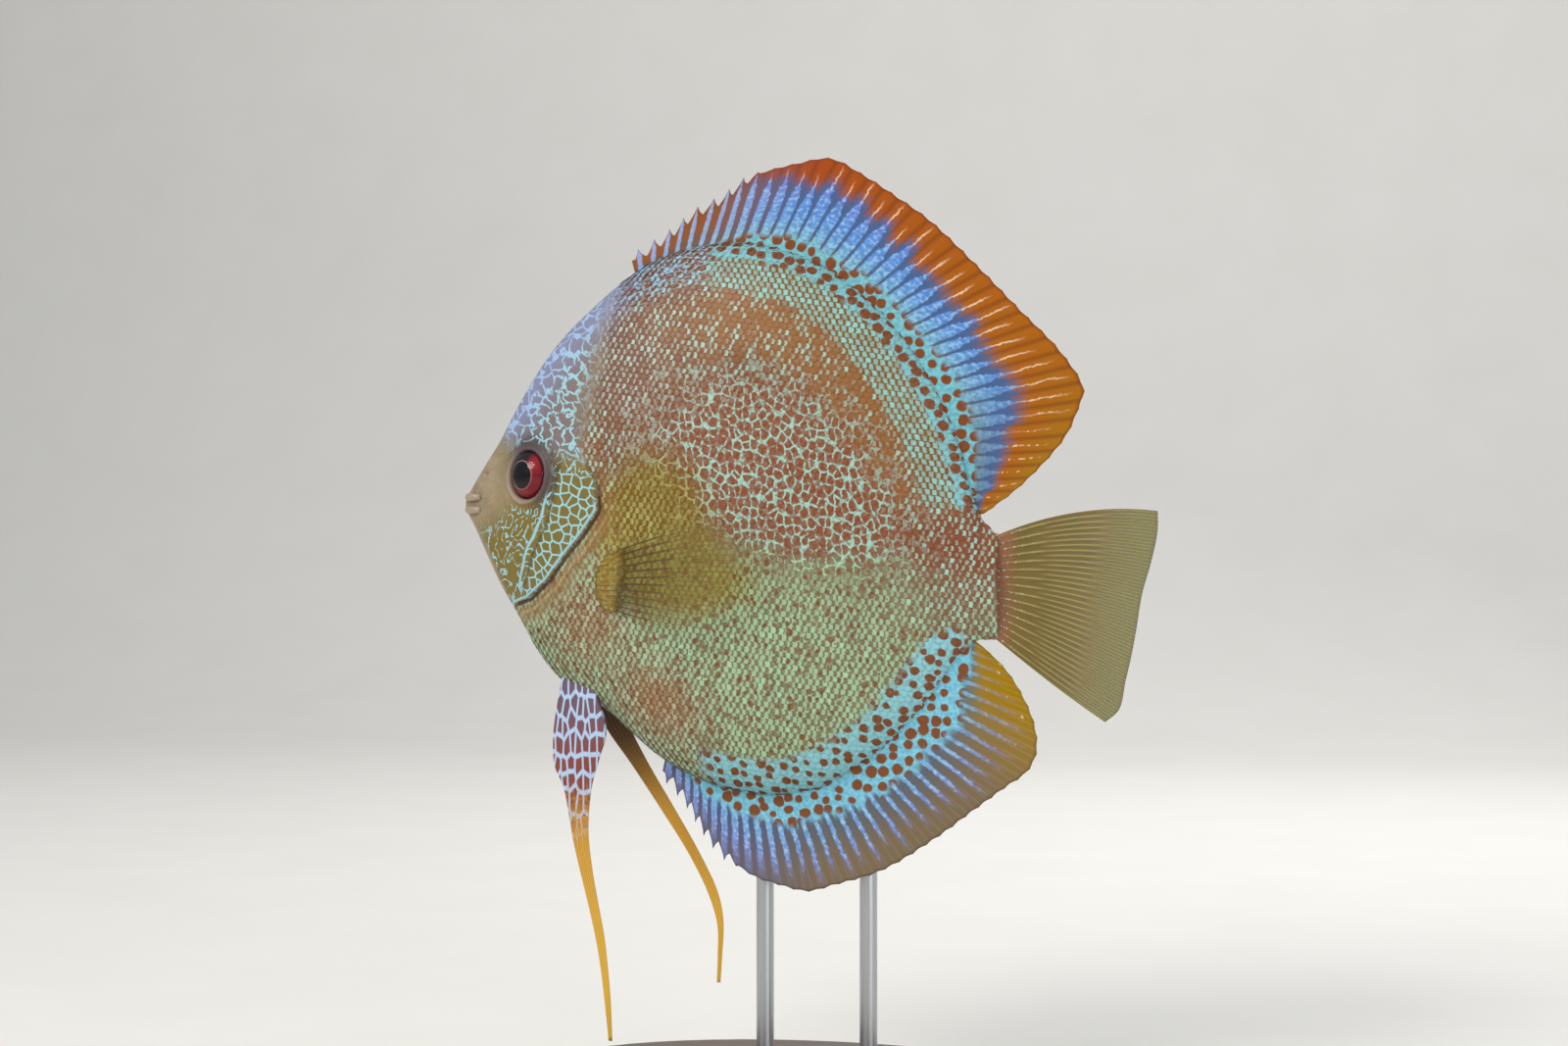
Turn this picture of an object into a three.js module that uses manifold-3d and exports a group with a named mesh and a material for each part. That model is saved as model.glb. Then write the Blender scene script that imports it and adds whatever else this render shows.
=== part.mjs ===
import * as THREE from 'three';
import { mergeVertices } from 'three/addons/utils/BufferGeometryUtils.js';
import Module from 'manifold-3d';

// A discus fish as a still, life-size museum model, held over an oval plinth by two rods.
// Millimetres, +Z up. The snout points to -X and the left flank faces -Y, so the body's
// mid plane is y = 0. The origin lies on the floor under the middle of the whole model.

// Gap kept between pieces that meet face to face.
const GAP = 0.3;

// Body: length stations where sections are drawn, and points round each section.
const SNOUT_X = -79.2;
const STALK_END_X = 44;
const BODY_SECTIONS = 46;
const SECTION_POINTS = 28;
const SECTION_FULLNESS = 0.9;
// Share of the body's length by which sections crowd toward the snout and the stalk.
const SECTION_CROWDING = 1 / 18;

// Upper and lower outline of the body and its half thickness, as [x, value].
const BACK_LINE = [
  [SNOUT_X, 137.6], [-77.3, 140.7], [-74, 146.1], [-69.1, 154.2], [-62.2, 165.3], [-56.6, 172.6],
  [-49, 179.9], [-41, 186.4], [-31.5, 191.6], [-22, 193.9], [-14, 194.3], [-1, 191.5],
  [9.5, 185.8], [18.5, 178], [26.2, 168.7], [32.2, 158.5], [36, 149], [38.5, 139.5],
  [41, 132], [STALK_END_X, 129],
];
const BELLY_LINE = [
  [SNOUT_X, 133], [-77.3, 129.6], [-73.8, 122.3], [-70.7, 116.2], [-67.4, 110.8], [-63.2, 103.7],
  [-59.6, 98.8], [-55.6, 94.6], [-50.2, 91.3], [-44.3, 87.6], [-39, 83], [-33.1, 78.2],
  [-26.9, 74.6], [-17.7, 71.2], [-7.4, 69.7], [2.8, 71.3], [14, 77.2], [22.9, 84.8],
  [30.7, 93.8], [36, 101.6], [40, 105], [STALK_END_X, 105.4],
];
const HALF_THICKNESS = [
  [SNOUT_X, 2.2], [-76, 3.9], [-72, 5.8], [-66, 8.5], [-60, 11.8], [-53, 14.2], [-44, 15.3],
  [-30, 15.5], [-15, 14.6], [0, 12.8], [15, 10], [28, 6.8], [36, 4.9], [STALK_END_X, 3.6],
];

// Gill covers: the groove in front, the free rear edge, and the plate's own thickness.
const GILL_FRONT = [[-61.8, 116.2], [-59.3, 124], [-55.4, 131], [-53.7, 138], [-51.8, 146]];
const GILL_REAR = [
  [-47.4, 147.4], [-43.6, 140.4], [-42.9, 133.7], [-46.8, 128.3], [-51.5, 123.1],
  [-55.6, 118.2], [-61.1, 114],
];
const GILL_PLATE = 2.2;
const GILL_PROUD = 0.45;
const GILL_CORE_X = -76;
const GILL_INNER_Y = 0.5;
// Parting line of head and trunk above and below the gill cover.
const NAPE_LINE = [[-41.5, 200], [-43.2, 186], [-44.7, 165], [-47, 153.7]];
const THROAT_LINE = [[-66.5, 112.4], [-71, 106]];
const STALK_X = 36.6;
// Reach of the straight cutters past the body: sideways, ahead, behind, below and above.
const CUT_HALF_WIDTH = 40;
const CUT_AHEAD_X = -100;
const CUT_BEHIND_X = 60;
const CUT_BELOW_Z = 60;
const CUT_ABOVE_Z = 200;

// Eyes: a flattened ball sunk into the side of the head, inside a raised rim.
const EYE_CENTRE = new THREE.Vector3(-61.3, -10.9, 141.8);
const EYE_TURN = THREE.MathUtils.degToRad(30);
const EYE_RADIUS = 5.9;
const EYE_DEPTH = 4.3;
const EYE_SUNK = 2.1;
const EYE_STEPS = 8;
const EYE_SIDES = 18;
const RIM_RADIUS = 5.7;
const RIM_TUBE = 0.75;
const RIM_TUBE_SIDES = 6;
const RIM_SUNK = 0.15;

// Mouth: two round lips that bend about the snout, and a nostril pit on each side.
const LIP_CORNER = [-75.3, 4.2];
const LIP_CHEEK = [-77.5, 3.1];
const LIP_FRONT_X = -78.7;
const UPPER_LIP_Z = 136.9;
const LOWER_LIP_Z = 134.05;
const LIP_RADIUS = 1.25;
const LIP_STEPS = 10;
const LIP_SEAT_REACH = 0.6;
const LIP_TURN_IN = 0.1;
const NOSTRIL = new THREE.Vector3(-73.6, -4.6, 142.3);
const NOSTRIL_RADIUS = 0.8;
const NOSTRIL_SIDES = 10;
const NOSTRIL_STEPS = 8;

// Fins in the mid plane, as [x, z] along the root inside the body and along the free edge.
const DORSAL_ROOT = [
  [-38.5, 186.8], [-31, 189.6], [-22, 191.8], [-14, 192.2], [-2, 189.7], [8.5, 184],
  [17, 176.6], [24.6, 167.4], [30.4, 157.5], [34.2, 148.5], [36.8, 139.5], [39, 132.5],
];
const DORSAL_EDGE = [
  [-39.9, 190.8], [-31, 196.3], [-24.8, 201], [-18.8, 203.8], [-14.9, 206.6], [-10.4, 209.2],
  [-1.1, 211.4], [7, 212.3], [13.8, 208.8], [21.5, 203.7], [29.3, 198], [39.6, 188],
  [48.9, 178.3], [58.5, 168.3], [63.4, 160.2], [62.4, 156.4], [60, 150.8], [56.6, 146.2],
  [49.2, 138.8], [44.5, 135.2], [41.6, 133.2],
];
const ANAL_ROOT = [
  [-31, 80.6], [-26, 77.2], [-17.4, 73.6], [-7.4, 72], [2, 73.6], [12.8, 79.2],
  [21.4, 86.6], [29, 95.4], [34.4, 103], [37.6, 106.3],
];
const ANAL_EDGE = [
  [-32.6, 74.6], [-27.6, 69], [-20.2, 58.7], [-11.5, 52], [-4.9, 49.9], [1.7, 48.7],
  [7.5, 50.2], [18.5, 53.8], [30.5, 61.2], [38.5, 67.2], [45.9, 72.7], [51, 76.5],
  [53, 80.6], [52.7, 86.4], [50.1, 93], [46.2, 99], [41.4, 103.6],
];
const TAIL_ROOT = [[42.4, 127.4], [42.4, 117.4], [42.4, 107]];
const TAIL_EDGE = [
  [79.5, 133.6], [79.4, 129], [78, 122.3], [76.2, 115.8], [74.9, 107.5], [73.9, 102],
  [72.7, 96.8], [71.2, 90.4], [68.2, 87.6],
];
const TAIL_UPPER_BOW = 2.7;
const TAIL_LOWER_BOW = -0.6;

// Ray counts. The first rays of the dorsal and anal fins are hard, free-tipped spines.
const DORSAL_SPINES = 9;
const DORSAL_RAYS = 40;
const ANAL_SPINES = 8;
const ANAL_RAYS = 37;
const TAIL_RAYS = 16;
const PECTORAL_RAYS = 12;
const PELVIC_RAYS = 6;
const SPINE_REACH = 1.3;
const SOFT_REACH = 0.25;
const FIN_ROWS = 5;
const PELVIC_ROWS = 13;

// Fin thickness, as half values at the root, in the middle and at the free edge.
const ROOT_HALF = 1.5;
const WEB_HALF = 0.5;
const EDGE_HALF = 0.3;
const RAY_RISE = 0.4;
const RAY_TAPER = 0.7;
const ROOT_SHARE = 0.35;
const PECTORAL_HALF = 0.7;
const PELVIC_HALF = 1.1;

// Sideways wave of the fins in the mid plane: its size, and turns across and along the rays.
const FIN_WAVE = 0.8;
const WAVE_ACROSS = 9;
const WAVE_ALONG = 2;
const TAIL_WAVE_ACROSS = 5;
const TAIL_WAVE_START = 1;

// Paired fins of the left side, as [x, y, z].
const PECTORAL_ROOT = [[-42.2, -13.4, 123.6], [-42.8, -13.2, 118], [-42.4, -12.7, 112]];
const PECTORAL_EDGE = [
  [-14.4, -22.5, 130.6], [-9.4, -23.4, 127], [-9, -23.4, 121.7], [-12, -22.4, 115.7],
  [-16.5, -21, 110.8], [-21.8, -19.6, 108],
];
const PECTORAL_BOW = 1.4;
const PECTORAL_CUP = 1.2;
const PECTORAL_LOBE = 1.5;
const LOBE_LENGTH = 0.14;
const LOBE_START = 0.12;
const LOBE_SPAN = 0.76;
const LEFT_PELVIC_FRONT = [
  [-54.4, -3.6, 97], [-55.6, -4.4, 90.6], [-56.7, -4.8, 83], [-56.4, -5.2, 76], [-54.2, -5.4, 71],
  [-51.8, -5.4, 58.6], [-50.3, -5.2, 52], [-48.6, -5, 45.2], [-46.8, -5, 37.5],
  [-45.6, -5, 30.8], [-44.6, -5, 23.1], [-43.6, -5, 13.9],
];
const LEFT_PELVIC_REAR = [
  [-48.6, -4.4, 97], [-45.6, -6.2, 90.6], [-43.8, -6.6, 84], [-45.6, -6, 77.6], [-47.4, -5.6, 71.6],
  [-48.4, -5.2, 61.6], [-47.6, -5, 53], [-46.2, -5, 45.2], [-44.7, -5, 37.5],
  [-43.9, -5, 30.8], [-43.2, -5, 23.1], [-42.8, -5, 13.9],
];
const RIGHT_PELVIC_FRONT = [
  [-52, 3.8, 96], [-48.4, 6.2, 85], [-42, 7.4, 75.4], [-34.8, 7.8, 64.8], [-28.3, 8, 54.8],
  [-23.8, 8, 46], [-21.7, 8, 39], [-21.6, 8, 32], [-21.8, 8, 25.9],
];
const RIGHT_PELVIC_REAR = [
  [-46, 4.6, 96], [-43.2, 6.6, 86], [-38.6, 7.4, 76.6], [-32, 7.8, 65.6], [-26, 8, 55.4],
  [-21.6, 8, 46.4], [-20.3, 8, 40], [-20.6, 8, 32], [-21, 8, 25.9],
];

// Display stand: an oval plinth and two upright rods behind the anal fin.
const PLINTH_LENGTH = 120;
const PLINTH_WIDTH = 74;
const PLINTH_HEIGHT = 8;
const PLINTH_CHAMFER = 1.2;
const PLINTH_SIDES = 48;
const ROD_RADIUS = 2;
const ROD_SIDES = 18;
const ROD_Y = 6.4;
const ROD_TOP_Z = 100;
const FRONT_ROD_X = -10;
const REAR_ROD_X = 14;

const wasm = await Module();
wasm.setup();

// Turns a closed triangle mesh into a solid, facing outward whichever way it was wound.
function solidOf(geometry) {
  const bare = geometry.clone();
  bare.deleteAttribute('normal');
  bare.deleteAttribute('uv');
  const merged = mergeVertices(bare, 1e-4);
  const places = merged.attributes.position.array;
  const corners = Uint32Array.from(merged.index.array);
  const a = new THREE.Vector3();
  const b = new THREE.Vector3();
  const c = new THREE.Vector3();
  let volume = 0;
  for (let i = 0; i < corners.length; i += 3) {
    a.fromArray(places, 3 * corners[i]);
    b.fromArray(places, 3 * corners[i + 1]);
    c.fromArray(places, 3 * corners[i + 2]);
    volume += a.dot(b.cross(c));
  }
  if (volume < 0) {
    for (let i = 0; i < corners.length; i += 3) {
      [corners[i], corners[i + 1]] = [corners[i + 1], corners[i]];
    }
  }
  const mesh = new wasm.Mesh({
    numProp: 3,
    vertProperties: Float32Array.from(places),
    triVerts: corners,
  });
  return new wasm.Manifold(mesh);
}

// Keeps the largest closed surface of a solid.
function largest(solid) {
  const pieces = solid.decompose();
  return pieces.reduce((best, piece) => (piece.volume() > best.volume() ? piece : best));
}

// Gives a finished solid its name and material.
function node(name, solid, material) {
  const mesh = largest(solid).getMesh();
  const geometry = new THREE.BufferGeometry();
  geometry.setAttribute('position', new THREE.BufferAttribute(mesh.vertProperties, 3));
  geometry.setIndex(new THREE.BufferAttribute(mesh.triVerts, 1));
  geometry.computeVertexNormals();
  const result = new THREE.Mesh(geometry, material);
  result.name = name;
  return result;
}

// Smooth value along x through the given points, without overshoot between them.
function profile(points) {
  const last = points.length - 1;
  const slopes = points.slice(1).map((p, i) => (p[1] - points[i][1]) / (p[0] - points[i][0]));
  const tangents = points.map((_, i) => {
    if (i === 0 || i === last) {
      return slopes[Math.min(i, last - 1)];
    }
    const before = slopes[i - 1];
    const after = slopes[i];
    return before * after > 0 ? (2 * before * after) / (before + after) : 0;
  });
  return (x) => {
    const at = THREE.MathUtils.clamp(x, points[0][0], points[last][0]);
    const next = points.findIndex((p) => p[0] > at);
    const i = next < 0 ? last - 1 : next - 1;
    const width = points[i + 1][0] - points[i][0];
    const t = (at - points[i][0]) / width;
    const rise = (2 * t - 3) * t * t;
    return (rise + 1) * points[i][1] + t * (1 - t) ** 2 * width * tangents[i]
      - rise * points[i + 1][1] + (t - 1) * t * t * width * tangents[i + 1];
  };
}

const backAt = profile(BACK_LINE);
const bellyAt = profile(BELLY_LINE);
const halfAt = profile(HALF_THICKNESS);

// The whole body as one closed loft, grown outward on all sides by the given amount.
function bodyLoft(grown, fromX = SNOUT_X) {
  const places = [];
  const corners = [];
  const start = fromX - grown;
  const end = STALK_END_X + grown;
  for (let i = 0; i <= BODY_SECTIONS; i += 1) {
    const t = i / BODY_SECTIONS;
    const even = start + (end - start) * t;
    const x = even - (end - start) * SECTION_CROWDING * Math.sin(2 * Math.PI * t);
    const top = backAt(x) + grown;
    const bottom = bellyAt(x) - grown;
    const half = halfAt(x) + grown;
    for (let j = 0; j < SECTION_POINTS; j += 1) {
      const turn = (2 * Math.PI * j) / SECTION_POINTS;
      const side = Math.sign(Math.cos(turn)) * Math.abs(Math.cos(turn)) ** SECTION_FULLNESS;
      const level = Math.sin(turn);
      places.push(x, half * side, (top + bottom) / 2 + ((top - bottom) / 2) * level);
    }
  }
  for (let i = 0; i < BODY_SECTIONS; i += 1) {
    for (let j = 0; j < SECTION_POINTS; j += 1) {
      const a = i * SECTION_POINTS + j;
      const b = i * SECTION_POINTS + ((j + 1) % SECTION_POINTS);
      corners.push(a, a + SECTION_POINTS, b, b, a + SECTION_POINTS, b + SECTION_POINTS);
    }
  }
  const rear = BODY_SECTIONS * SECTION_POINTS;
  for (let j = 1; j < SECTION_POINTS - 1; j += 1) {
    corners.push(0, j, j + 1, rear, rear + j + 1, rear + j);
  }
  return solidOf(meshOf(places, corners));
}

// An indexed triangle mesh from a flat list of coordinates.
function meshOf(places, corners) {
  const geometry = new THREE.BufferGeometry();
  geometry.setAttribute('position', new THREE.Float32BufferAttribute(places, 3));
  geometry.setIndex(corners);
  return geometry;
}

// A straight cutter across the body, with the given side-view outline.
function prism(outline, fromY, toY) {
  const shape = new THREE.Shape(outline.map(([x, z]) => new THREE.Vector2(x, z)));
  const geometry = new THREE.ExtrudeGeometry(shape, { depth: toY - fromY, bevelEnabled: false });
  geometry.rotateX(Math.PI / 2);
  geometry.translate(0, toY, 0);
  return solidOf(geometry);
}

// Moves each point of a closed outline outward by a distance.
function widen(outline, distance) {
  const turning = THREE.ShapeUtils.area(outline.map(([x, z]) => new THREE.Vector2(x, z)));
  const outward = Math.sign(turning) * distance;
  return outline.map(([x, z], i) => {
    const before = outline[(i + outline.length - 1) % outline.length];
    const after = outline[(i + 1) % outline.length];
    const along = new THREE.Vector2(after[0] - before[0], after[1] - before[1]).normalize();
    return [x + outward * along.y, z - outward * along.x];
  });
}

const body = bodyLoft(0);
const bodyClear = bodyLoft(GAP);
const gillOutline = [...GILL_FRONT, ...GILL_REAR];
const partingLine = [...NAPE_LINE, ...GILL_REAR, ...THROAT_LINE];
const mirrorY = (place) => new THREE.Vector3(place.x, -place.y, place.z);

// Materials, one for each kind of surface of the model.
function material(color, roughness, metalness = 0) {
  return new THREE.MeshStandardMaterial({ color, roughness, metalness });
}

const skinMaterial = material(0x7d6a4a, 0.45);
const gillMaterial = material(0x7a7448, 0.45);
const lipMaterial = material(0xb79a86, 0.5);
const dorsalMaterial = material(0x6f86a8, 0.45);
const analMaterial = material(0x5f7f92, 0.45);
const tailMaterial = material(0x8c8a66, 0.4);
const pectoralMaterial = material(0xb59a3c, 0.4);
const pelvicMaterial = material(0xc39a34, 0.45);
const eyeMaterial = material(0x8e1420, 0.12);
const woodMaterial = material(0x3a2a20, 0.5);
const steelMaterial = material(0xb8babd, 0.3, 1);

// Eyeball: a flattened ball whose axis looks outward and forward from the head.
function eyeball(side, grown) {
  const outline = [];
  for (let i = 0; i <= EYE_STEPS; i += 1) {
    const turn = (Math.PI * i) / EYE_STEPS;
    const away = i % EYE_STEPS === 0 ? 0 : (EYE_RADIUS + grown) * Math.sin(turn);
    outline.push(new THREE.Vector2(away, -(EYE_DEPTH + grown) * Math.cos(turn)));
  }
  const geometry = new THREE.LatheGeometry(outline, EYE_SIDES);
  placeOnHead(geometry, side, -EYE_SUNK);
  return solidOf(geometry);
}

// Raised orbit rim round the eye.
function orbitRim(side) {
  const geometry = new THREE.TorusGeometry(RIM_RADIUS, RIM_TUBE, RIM_TUBE_SIDES, EYE_SIDES);
  geometry.rotateX(Math.PI / 2);
  placeOnHead(geometry, side, -RIM_SUNK);
  return solidOf(geometry);
}

// Turns a piece drawn about +Y into the eye's axis and sets it at the side of the head.
function placeOnHead(geometry, side, outward) {
  const axis = new THREE.Vector3(-Math.sin(EYE_TURN), side * Math.cos(EYE_TURN), 0);
  const turn = new THREE.Quaternion().setFromUnitVectors(new THREE.Vector3(0, 1, 0), axis);
  const place = side < 0 ? EYE_CENTRE.clone() : mirrorY(EYE_CENTRE);
  place.addScaledVector(axis, outward);
  geometry.applyQuaternion(turn);
  geometry.translate(place.x, place.y, place.z);
}

// A lip: a round roll from one corner of the mouth about the snout to the other.
function lip(z, grown) {
  const [cornerX, cornerY] = LIP_CORNER;
  const reach = grown > 0 ? cornerX + LIP_SEAT_REACH : cornerX;
  const path = new THREE.CatmullRomCurve3([
    new THREE.Vector3(reach, -cornerY - LIP_TURN_IN, z),
    new THREE.Vector3(LIP_CHEEK[0], -LIP_CHEEK[1], z),
    new THREE.Vector3(LIP_FRONT_X, 0, z),
    new THREE.Vector3(LIP_CHEEK[0], LIP_CHEEK[1], z),
    new THREE.Vector3(reach, cornerY + LIP_TURN_IN, z),
  ]);
  const section = new THREE.Shape().absarc(0, 0, LIP_RADIUS + grown, 0, 2 * Math.PI);
  const options = { steps: LIP_STEPS, curveSegments: 4, extrudePath: path, bevelEnabled: false };
  return solidOf(new THREE.ExtrudeGeometry(section, options));
}

// The pit of a nostril, to be cut from the side of the snout.
function nostril(side) {
  const geometry = new THREE.SphereGeometry(NOSTRIL_RADIUS, NOSTRIL_SIDES, NOSTRIL_STEPS);
  const place = side < 0 ? NOSTRIL : mirrorY(NOSTRIL);
  geometry.translate(place.x, place.y, place.z);
  return solidOf(geometry);
}

// Gill cover: a bony plate standing a little proud of the flank behind it.
function gillCover(side) {
  const fromY = side < 0 ? -CUT_HALF_WIDTH : GILL_INNER_Y;
  const toY = side < 0 ? -GILL_INNER_Y : CUT_HALF_WIDTH;
  const window = prism(widen(gillOutline, -GAP / 2), fromY, toY);
  const core = bodyLoft(-GILL_PLATE, GILL_CORE_X);
  return bodyLoft(GILL_PROUD).intersect(window).subtract(core);
}

// The pockets in both sides of the head that the gill covers lie in.
function gillPockets() {
  const window = prism(widen(gillOutline, GAP / 2), -CUT_HALF_WIDTH, CUT_HALF_WIDTH);
  return window.subtract(bodyLoft(-GILL_PLATE - GAP, GILL_CORE_X));
}

// Head: the body forward of the gill opening, with sockets, lips' seats and nostrils.
function head() {
  const throatZ = THROAT_LINE[THROAT_LINE.length - 1][1];
  const front = [...partingLine, [CUT_AHEAD_X, throatZ], [CUT_AHEAD_X, CUT_ABOVE_Z]];
  let solid = body.intersect(prism(front, -CUT_HALF_WIDTH, CUT_HALF_WIDTH));
  solid = solid.add(orbitRim(-1)).add(orbitRim(1)).subtract(gillPockets());
  solid = solid.subtract(eyeball(-1, GAP)).subtract(eyeball(1, GAP));
  solid = solid.subtract(lip(UPPER_LIP_Z, GAP)).subtract(lip(LOWER_LIP_Z, GAP));
  return solid.subtract(nostril(-1)).subtract(nostril(1));
}

// Trunk: the body behind the gill opening, up to the tail stalk.
function trunk() {
  const shifted = partingLine.map(([x, z]) => [x + GAP, z]);
  const throatX = THROAT_LINE[THROAT_LINE.length - 1][0];
  const rear = STALK_X - GAP;
  const outline = [
    ...shifted, [throatX, CUT_BELOW_Z], [rear, CUT_BELOW_Z], [rear, CUT_ABOVE_Z],
  ];
  return body.intersect(prism(outline, -CUT_HALF_WIDTH, CUT_HALF_WIDTH));
}

// Tail stalk: the narrow end of the body that carries the tail fin.
function tailStalk() {
  const outline = [
    [STALK_X, CUT_BELOW_Z], [CUT_BEHIND_X, CUT_BELOW_Z],
    [CUT_BEHIND_X, CUT_ABOVE_Z], [STALK_X, CUT_ABOVE_Z],
  ];
  return body.intersect(prism(outline, -CUT_HALF_WIDTH, CUT_HALF_WIDTH));
}

// A thin curved plate about a middle surface place(s, r), s across the rays, r along them.
function plate(place, half, columns, rows) {
  const grid = [];
  for (let i = 0; i <= columns; i += 1) {
    for (let j = 0; j <= rows; j += 1) {
      grid.push(place(i / columns, j / rows));
    }
  }
  const at = (i, j) => grid[i * (rows + 1) + j];
  const places = [];
  for (let face = 1; face >= -1; face -= 2) {
    for (let i = 0; i <= columns; i += 1) {
      for (let j = 0; j <= rows; j += 1) {
        const across = at(Math.min(i + 1, columns), j).clone().sub(at(Math.max(i - 1, 0), j));
        const along = at(i, Math.min(j + 1, rows)).clone().sub(at(i, Math.max(j - 1, 0)));
        const normal = across.cross(along).normalize();
        const offset = face * half(i / columns, j / rows);
        places.push(...at(i, j).clone().addScaledVector(normal, offset).toArray());
      }
    }
  }
  const corners = [];
  const back = (columns + 1) * (rows + 1);
  const index = (i, j) => i * (rows + 1) + j;
  for (let i = 0; i < columns; i += 1) {
    for (let j = 0; j < rows; j += 1) {
      const a = index(i, j);
      const b = index(i + 1, j);
      corners.push(a, b, b + 1, a, b + 1, a + 1);
      corners.push(back + a, back + b + 1, back + b, back + a, back + a + 1, back + b + 1);
    }
  }
  const acrossSteps = Array.from({ length: columns }, (_, i) => i);
  const alongSteps = Array.from({ length: rows }, (_, j) => j);
  const rim = [
    ...acrossSteps.map((i) => index(i, 0)),
    ...alongSteps.map((j) => index(columns, j)),
    ...acrossSteps.map((i) => index(columns - i, rows)),
    ...alongSteps.map((j) => index(0, rows - j)),
  ];
  rim.forEach((a, k) => {
    const b = rim[(k + 1) % rim.length];
    corners.push(a, back + a, b, b, back + a, back + b);
  });
  return solidOf(meshOf(places, corners));
}

// A smooth curve through points of the mid plane or of space.
function smoothCurve(points) {
  const places = points.map((p) => {
    const inSpace = p.length === 3;
    return new THREE.Vector3(p[0], inSpace ? p[1] : 0, inSpace ? p[2] : p[1]);
  });
  return new THREE.CatmullRomCurve3(places, false, 'centripetal');
}

// Half thickness of a fin: thick at its root, thin at its edge, with a ridge on each ray.
function rayedHalf(rays, rootHalf, rise) {
  const columns = 2 * rays;
  return (s, r) => {
    const onRay = Math.round(s * columns) % 2;
    const web = r < ROOT_SHARE
      ? THREE.MathUtils.lerp(rootHalf, WEB_HALF, r / ROOT_SHARE)
      : THREE.MathUtils.lerp(WEB_HALF, EDGE_HALF, (r - ROOT_SHARE) / (1 - ROOT_SHARE));
    return web + onRay * rise * (1 - RAY_TAPER * r);
  };
}

// A fin of the mid plane: rays run from the root to the edge at equal shares of both.
function midFin(root, edge, rays, spines) {
  const rootCurve = smoothCurve(root);
  const edgeCurve = smoothCurve(edge);
  const columns = 2 * rays;
  const place = (s, r) => {
    const from = rootCurve.getPointAt(s);
    const to = edgeCurve.getPointAt(s);
    const ray = to.clone().sub(from);
    const column = Math.round(s * columns);
    const isEnd = column === 0 || column === columns;
    const reach = column < 2 * spines ? SPINE_REACH : SOFT_REACH;
    const tip = isEnd ? 0 : (column % 2 - 0.5) * reach;
    const length = ray.length();
    const point = from.addScaledVector(ray, r * (1 + (r * tip) / length));
    point.y += FIN_WAVE * r * r * Math.sin(WAVE_ACROSS * s + WAVE_ALONG * r);
    return point;
  };
  return plate(place, rayedHalf(rays, ROOT_HALF, RAY_RISE), columns, FIN_ROWS);
}

// Tail fin: a fan whose upper and lower rays bow outward.
function tailFin() {
  const rootCurve = smoothCurve(TAIL_ROOT);
  const edgeCurve = smoothCurve(TAIL_EDGE);
  const columns = 2 * TAIL_RAYS;
  const place = (s, r) => {
    const point = rootCurve.getPointAt(s).lerp(edgeCurve.getPointAt(s), r);
    point.z += 4 * r * (1 - r) * THREE.MathUtils.lerp(TAIL_UPPER_BOW, TAIL_LOWER_BOW, s);
    point.y += FIN_WAVE * r * r * Math.sin(TAIL_WAVE_ACROSS * s + TAIL_WAVE_START);
    const column = Math.round(s * columns);
    point.x += column % 2 ? SOFT_REACH * r * r : 0;
    return point;
  };
  return plate(place, rayedHalf(TAIL_RAYS, ROOT_HALF, RAY_RISE), columns, FIN_ROWS);
}

// Pectoral fin: a cupped fan on a fleshy lobe, held away from the flank.
function pectoralFin(side) {
  const rootCurve = smoothCurve(PECTORAL_ROOT);
  const edgeCurve = smoothCurve(PECTORAL_EDGE);
  const place = (s, r) => {
    const point = rootCurve.getPointAt(s).lerp(edgeCurve.getPointAt(s), r);
    point.z += 4 * r * (1 - r) * THREE.MathUtils.lerp(PECTORAL_BOW, -PECTORAL_BOW / 2, s);
    point.y -= PECTORAL_CUP * Math.sin(Math.PI * r);
    return side < 0 ? point : mirrorY(point);
  };
  const rayed = rayedHalf(PECTORAL_RAYS, PECTORAL_HALF, RAY_RISE / 2);
  const half = (s, r) => {
    const lobeAcross = Math.sin(Math.PI * (LOBE_START + LOBE_SPAN * s));
    const lobeAlong = Math.exp(-((r / LOBE_LENGTH) ** 2));
    return rayed(s, r) + PECTORAL_LOBE * lobeAlong * lobeAcross;
  };
  return plate(place, half, 2 * PECTORAL_RAYS, FIN_ROWS);
}

// Pelvic fin: a narrow fin that ends in a long drawn-out ray.
function pelvicFin(front, rear) {
  const frontCurve = smoothCurve(front);
  const rearCurve = smoothCurve(rear);
  const place = (s, r) => frontCurve.getPoint(r).lerp(rearCurve.getPoint(r), s);
  const rayed = rayedHalf(PELVIC_RAYS, PELVIC_HALF, RAY_RISE / 2);
  return plate(place, rayed, 2 * PELVIC_RAYS, PELVIC_ROWS);
}

// Plinth: an oval board with a small chamfer above and below.
function plinth() {
  const radius = PLINTH_LENGTH / 2;
  const outline = [
    [0, 0], [radius - PLINTH_CHAMFER, 0], [radius, PLINTH_CHAMFER],
    [radius, PLINTH_HEIGHT - PLINTH_CHAMFER], [radius - PLINTH_CHAMFER, PLINTH_HEIGHT],
    [0, PLINTH_HEIGHT],
  ];
  const points = outline.map(([x, z]) => new THREE.Vector2(x, z));
  const geometry = new THREE.LatheGeometry(points, PLINTH_SIDES);
  geometry.rotateX(Math.PI / 2);
  geometry.scale(1, PLINTH_WIDTH / PLINTH_LENGTH, 1);
  return solidOf(geometry);
}

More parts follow.
